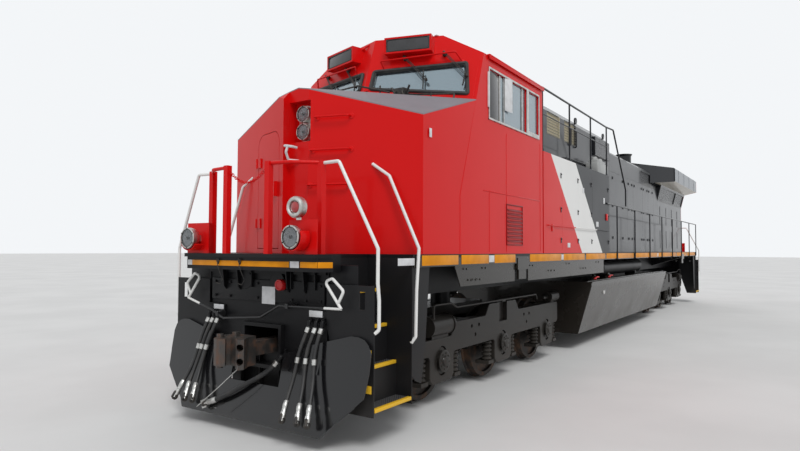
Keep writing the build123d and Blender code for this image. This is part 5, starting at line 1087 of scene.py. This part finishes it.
coat(material("radiator hood paint", radiator_build, (0.32, 0.06), 0.22), "radiator_hood")
seams = [((offset, 1.500, 4.38), (0.010, 0.008, 0.42), 0.002) for offset in (17.55, 18.60, 19.70, 20.75)]
seams += [((offset, 0.953, z), (0.012, 0.010, 0.60), 0.003)
          for offset in (17.3, 18.35, 19.4, 20.5) for z in (2.3, 3.1)]
settle(paired(seams), "radiator_seams", BLACK_ENAMEL)

# Cut levers
# A black rod along each end with a white handle at both its ends, for pulling the coupler's pin.
WORN_WHITE = (0.5, 0.47, 0.43)


def lever_build(spot):
    inputs = paint((0.012, 0.012, 0.013), DUST, 0.25, 1.5, 0.36)(spot)
    white = paint(WHITE, WORN_WHITE, 0.2, 1.6, 0.3)(spot)
    handle = spot.aside().above(0.955)
    return {**inputs, "Base Color": handle.blend(inputs["Base Color"], white["Base Color"])}


coat(material("lever paint", lever_build), "cut_levers")

# Corner stairs
# Pressed black side plates carry open grating treads. Each tread has a yellow nosing strip, and small
# yellow plates mark the lowest steps.


def grating_build(spot):
    inputs = paint((0.010, 0.010, 0.011), DUST, 0.35, 1.0, 0.4)(spot)
    level = spot.add("NewGeometry", output="Normal").axis("Z")
    holes = (spot.axis("X").wave(190) * spot.axis("Y").wave(260)).between(0.1, 0.35) * level.above(0.9)
    holes = holes * (1 - spot.axis("Z").between(1.80, 1.84))
    metal = holes.blend(inputs["Base Color"], (0.16, 0.16, 0.16))
    return {**inputs, "Base Color": metal, "Normal": holes.bump(0.5, 0.004)}


coat(material("grating paint", grating_build, specular=0.25), "front_steps", "rear_steps")


def yellow_build(spot):
    cloud = spot.noise(8, 4)
    worn = cloud.between(0.62, 0.8) * 0.6
    return {
        "Base Color": worn.blend((0.80, 0.47, 0.02), (0.30, 0.20, 0.06)),
        "Roughness": 0.4 + cloud * 0.25,
    }


STEP_YELLOW = material("yellow step paint", yellow_build)
TREAD_EDGES = [(1.494, 0.398), (1.300, 0.758), (1.178, 1.140), (1.042, 1.504)]
nosings = [((0.569, 1.44, 0.59), (0.006, 0.075, 0.075), 0.002),
           ((0.569, 1.46, 0.935), (0.006, 0.030, 0.065), 0.002)]
for y, z in TREAD_EDGES:
    nosings.append(((0.915, y + 0.004, z - 0.010), (0.640, 0.014, 0.036), 0.004))
    nosings.append(((0.915, y - 0.016, z + 0.004), (0.640, 0.036, 0.006), 0.002))
settle(both_ends(paired(nosings)), "yellow_nosings", STEP_YELLOW)

# Step handrails
# Bent steel tube, painted white so that it shows beside the stairs.
WHITE_PAINT = material("white enamel", paint(WHITE, WORN_WHITE, 0.4, 1.6, 0.3), (0.4, 0.1))
coat(WHITE_PAINT, "step_handrails")

# Lamps
# Two sealed headlights stand one over the other, with two ditch lamps and a red marker on the platform.
# Each white lamp is a plated can with a bright reflector behind ribbed glass, held by a ring with screws.
coat(PLATED_STEEL, "lamps")


def lens_build(spot):
    cloud = spot.noise(20, 2)
    ribs = spot.axis("Y").wave(420)
    return {"Alpha": 0.30 + cloud * 0.08, "Roughness": 0.04 + cloud * 0.05, "Normal": ribs.bump(0.35, 0.002)}


def hoop(where, radius, wire, sides, wire_sides, lean=90):
    """A ring of round wire that faces forward, or up where it doesn't lean."""
    bpy.ops.mesh.primitive_torus_add(major_radius=radius, minor_radius=wire, major_segments=sides,
                                     minor_segments=wire_sides, location=located(where),
                                     rotation=(0, math.radians(lean), 0))
    return bpy.context.active_object


REFLECTOR = material("lamp reflector", mottled(
    (0.60, 0.61, 0.63), (0.42, 0.43, 0.45), cloud=(30, 2), rough=(0.10, 0.1), mask=None), Metallic=1.0)
LAMP_GLASS = material("ribbed lamp glass", lens_build, (1.0, 0.02), Base_Color=(0.10, 0.11, 0.12, 1.0))
RED_GLASS = material("red lamp glass", mottled(
    (0.42, 0.006, 0.008), (0.30, 0.004, 0.006), cloud=(60, 2), rough=(0.08, 0.1), mask=None), (1.0, 0.03))
HEADLIGHTS = [((1.133, 0.025, z), 0.089) for z in (3.319, 3.529)]
DITCH_LAMPS = [((0.160, side * 0.786, 2.050), 0.103) for side in SIDES]
BOWL = [(-0.011, 0.98), (-0.004, 0.96), (-0.010, 0.55), (-0.0112, 0.12), (0.001, 0.10), (0.003, 0.04)]
LENS = [(0.001, 0.97), (0.006, 0.85), (0.010, 0.55), (0.012, 0.15)]
bowls, glasses, rims, screws = [], [], [], []
for lamp, radius in HEADLIGHTS + DITCH_LAMPS:
    middle = place(*lamp)
    for made, steps in ((bowls, BOWL), (glasses, LENS)):
        made.append(turned([(along, radius * share) for along, share in steps], middle, FORWARD, 32))
    rims.append(hoop(middle, radius + 0.004, 0.008, 36, 8))
    screws.append(hoop(middle + Vector((0.002, 0, 0)), radius * 0.96, 0.005, 32, 6))
    screws.append(turned([(-0.010, 0.016), (-0.002, 0.018), (0.004, 0.012)], middle, FORWARD, 12))
    for number in range(6):
        angle, reach = math.radians(30 + 60 * number), radius + 0.004
        where = middle + Vector((0.004, math.cos(angle) * reach, math.sin(angle) * reach))
        screws.append(turned([(0.0, 0.008), (0.006, 0.008), (0.008, 0.005)], where, FORWARD, 8))
settle(bowls, "lamp_reflectors", REFLECTOR)
settle(glasses, "lamp_glasses", LAMP_GLASS)
settle(rims, "lamp_rims", PLATED_STEEL)
settle(screws, "lamp_screws", HAND_IRON)
marker_steps = [(-0.012, 0.058), (0.004, 0.056), (0.014, 0.044), (0.019, 0.020), (0.020, 0.006)]
settle([turned(marker_steps, (0.270, 0.745, 2.350), FORWARD, 32)], "red_marker_lens", RED_GLASS)
settle([hoop((0.268, 0.745, 2.350), 0.084, 0.022, 40, 10)], "marker_ring", PLATED_STEEL)

# Ditch lamp cradles
# A curved red plate on the kick plate holds each ditch lamp from below and from its outer side.
CRADLE_RADIUS = 0.135
cradles = []
for side in SIDES:
    angles = [math.radians(-150 + step * 22) for step in range(9)]
    arc = [(math.cos(angle) * CRADLE_RADIUS, math.sin(angle) * CRADLE_RADIUS) for angle in angles]
    for (y, z), (next_y, next_z) in zip(arc, arc[1:]):
        turn = Matrix.Rotation(math.atan2(next_z - z, next_y - y) * side, 3, "X")
        centre = (0.235, side * 0.786 + side * (y + next_y) / 2, 2.050 + (z + next_z) / 2)
        cradles.append(slab(centre, (0.13, 0.055, 0.010), 0.003, turn))
settle(cradles, "ditch_lamp_cradles", RED_ENAMEL)

# Platform chain
# A red safety chain of welded links hangs across the gap in the front railing.
CHAIN_REACH, CHAIN_SAG = 0.30, 0.16
link = hoop(ORIGIN, 0.016, 0.004, 12, 6, lean=0)
links = []
for number in range(27):
    share = (number - 13) / 13
    lean = math.atan2(2 * CHAIN_SAG * share, CHAIN_REACH)
    turn = Matrix.Rotation(lean, 4, "X") @ Matrix.Rotation(math.radians(90 * (number % 2)), 4, "Y")
    where = place(0.320, share * CHAIN_REACH, 2.800 - CHAIN_SAG * (1 - share * share))
    links.append(Matrix.Translation(where) @ turn)
settle(repeat([link], links), "platform_chain", RED_ENAMEL)
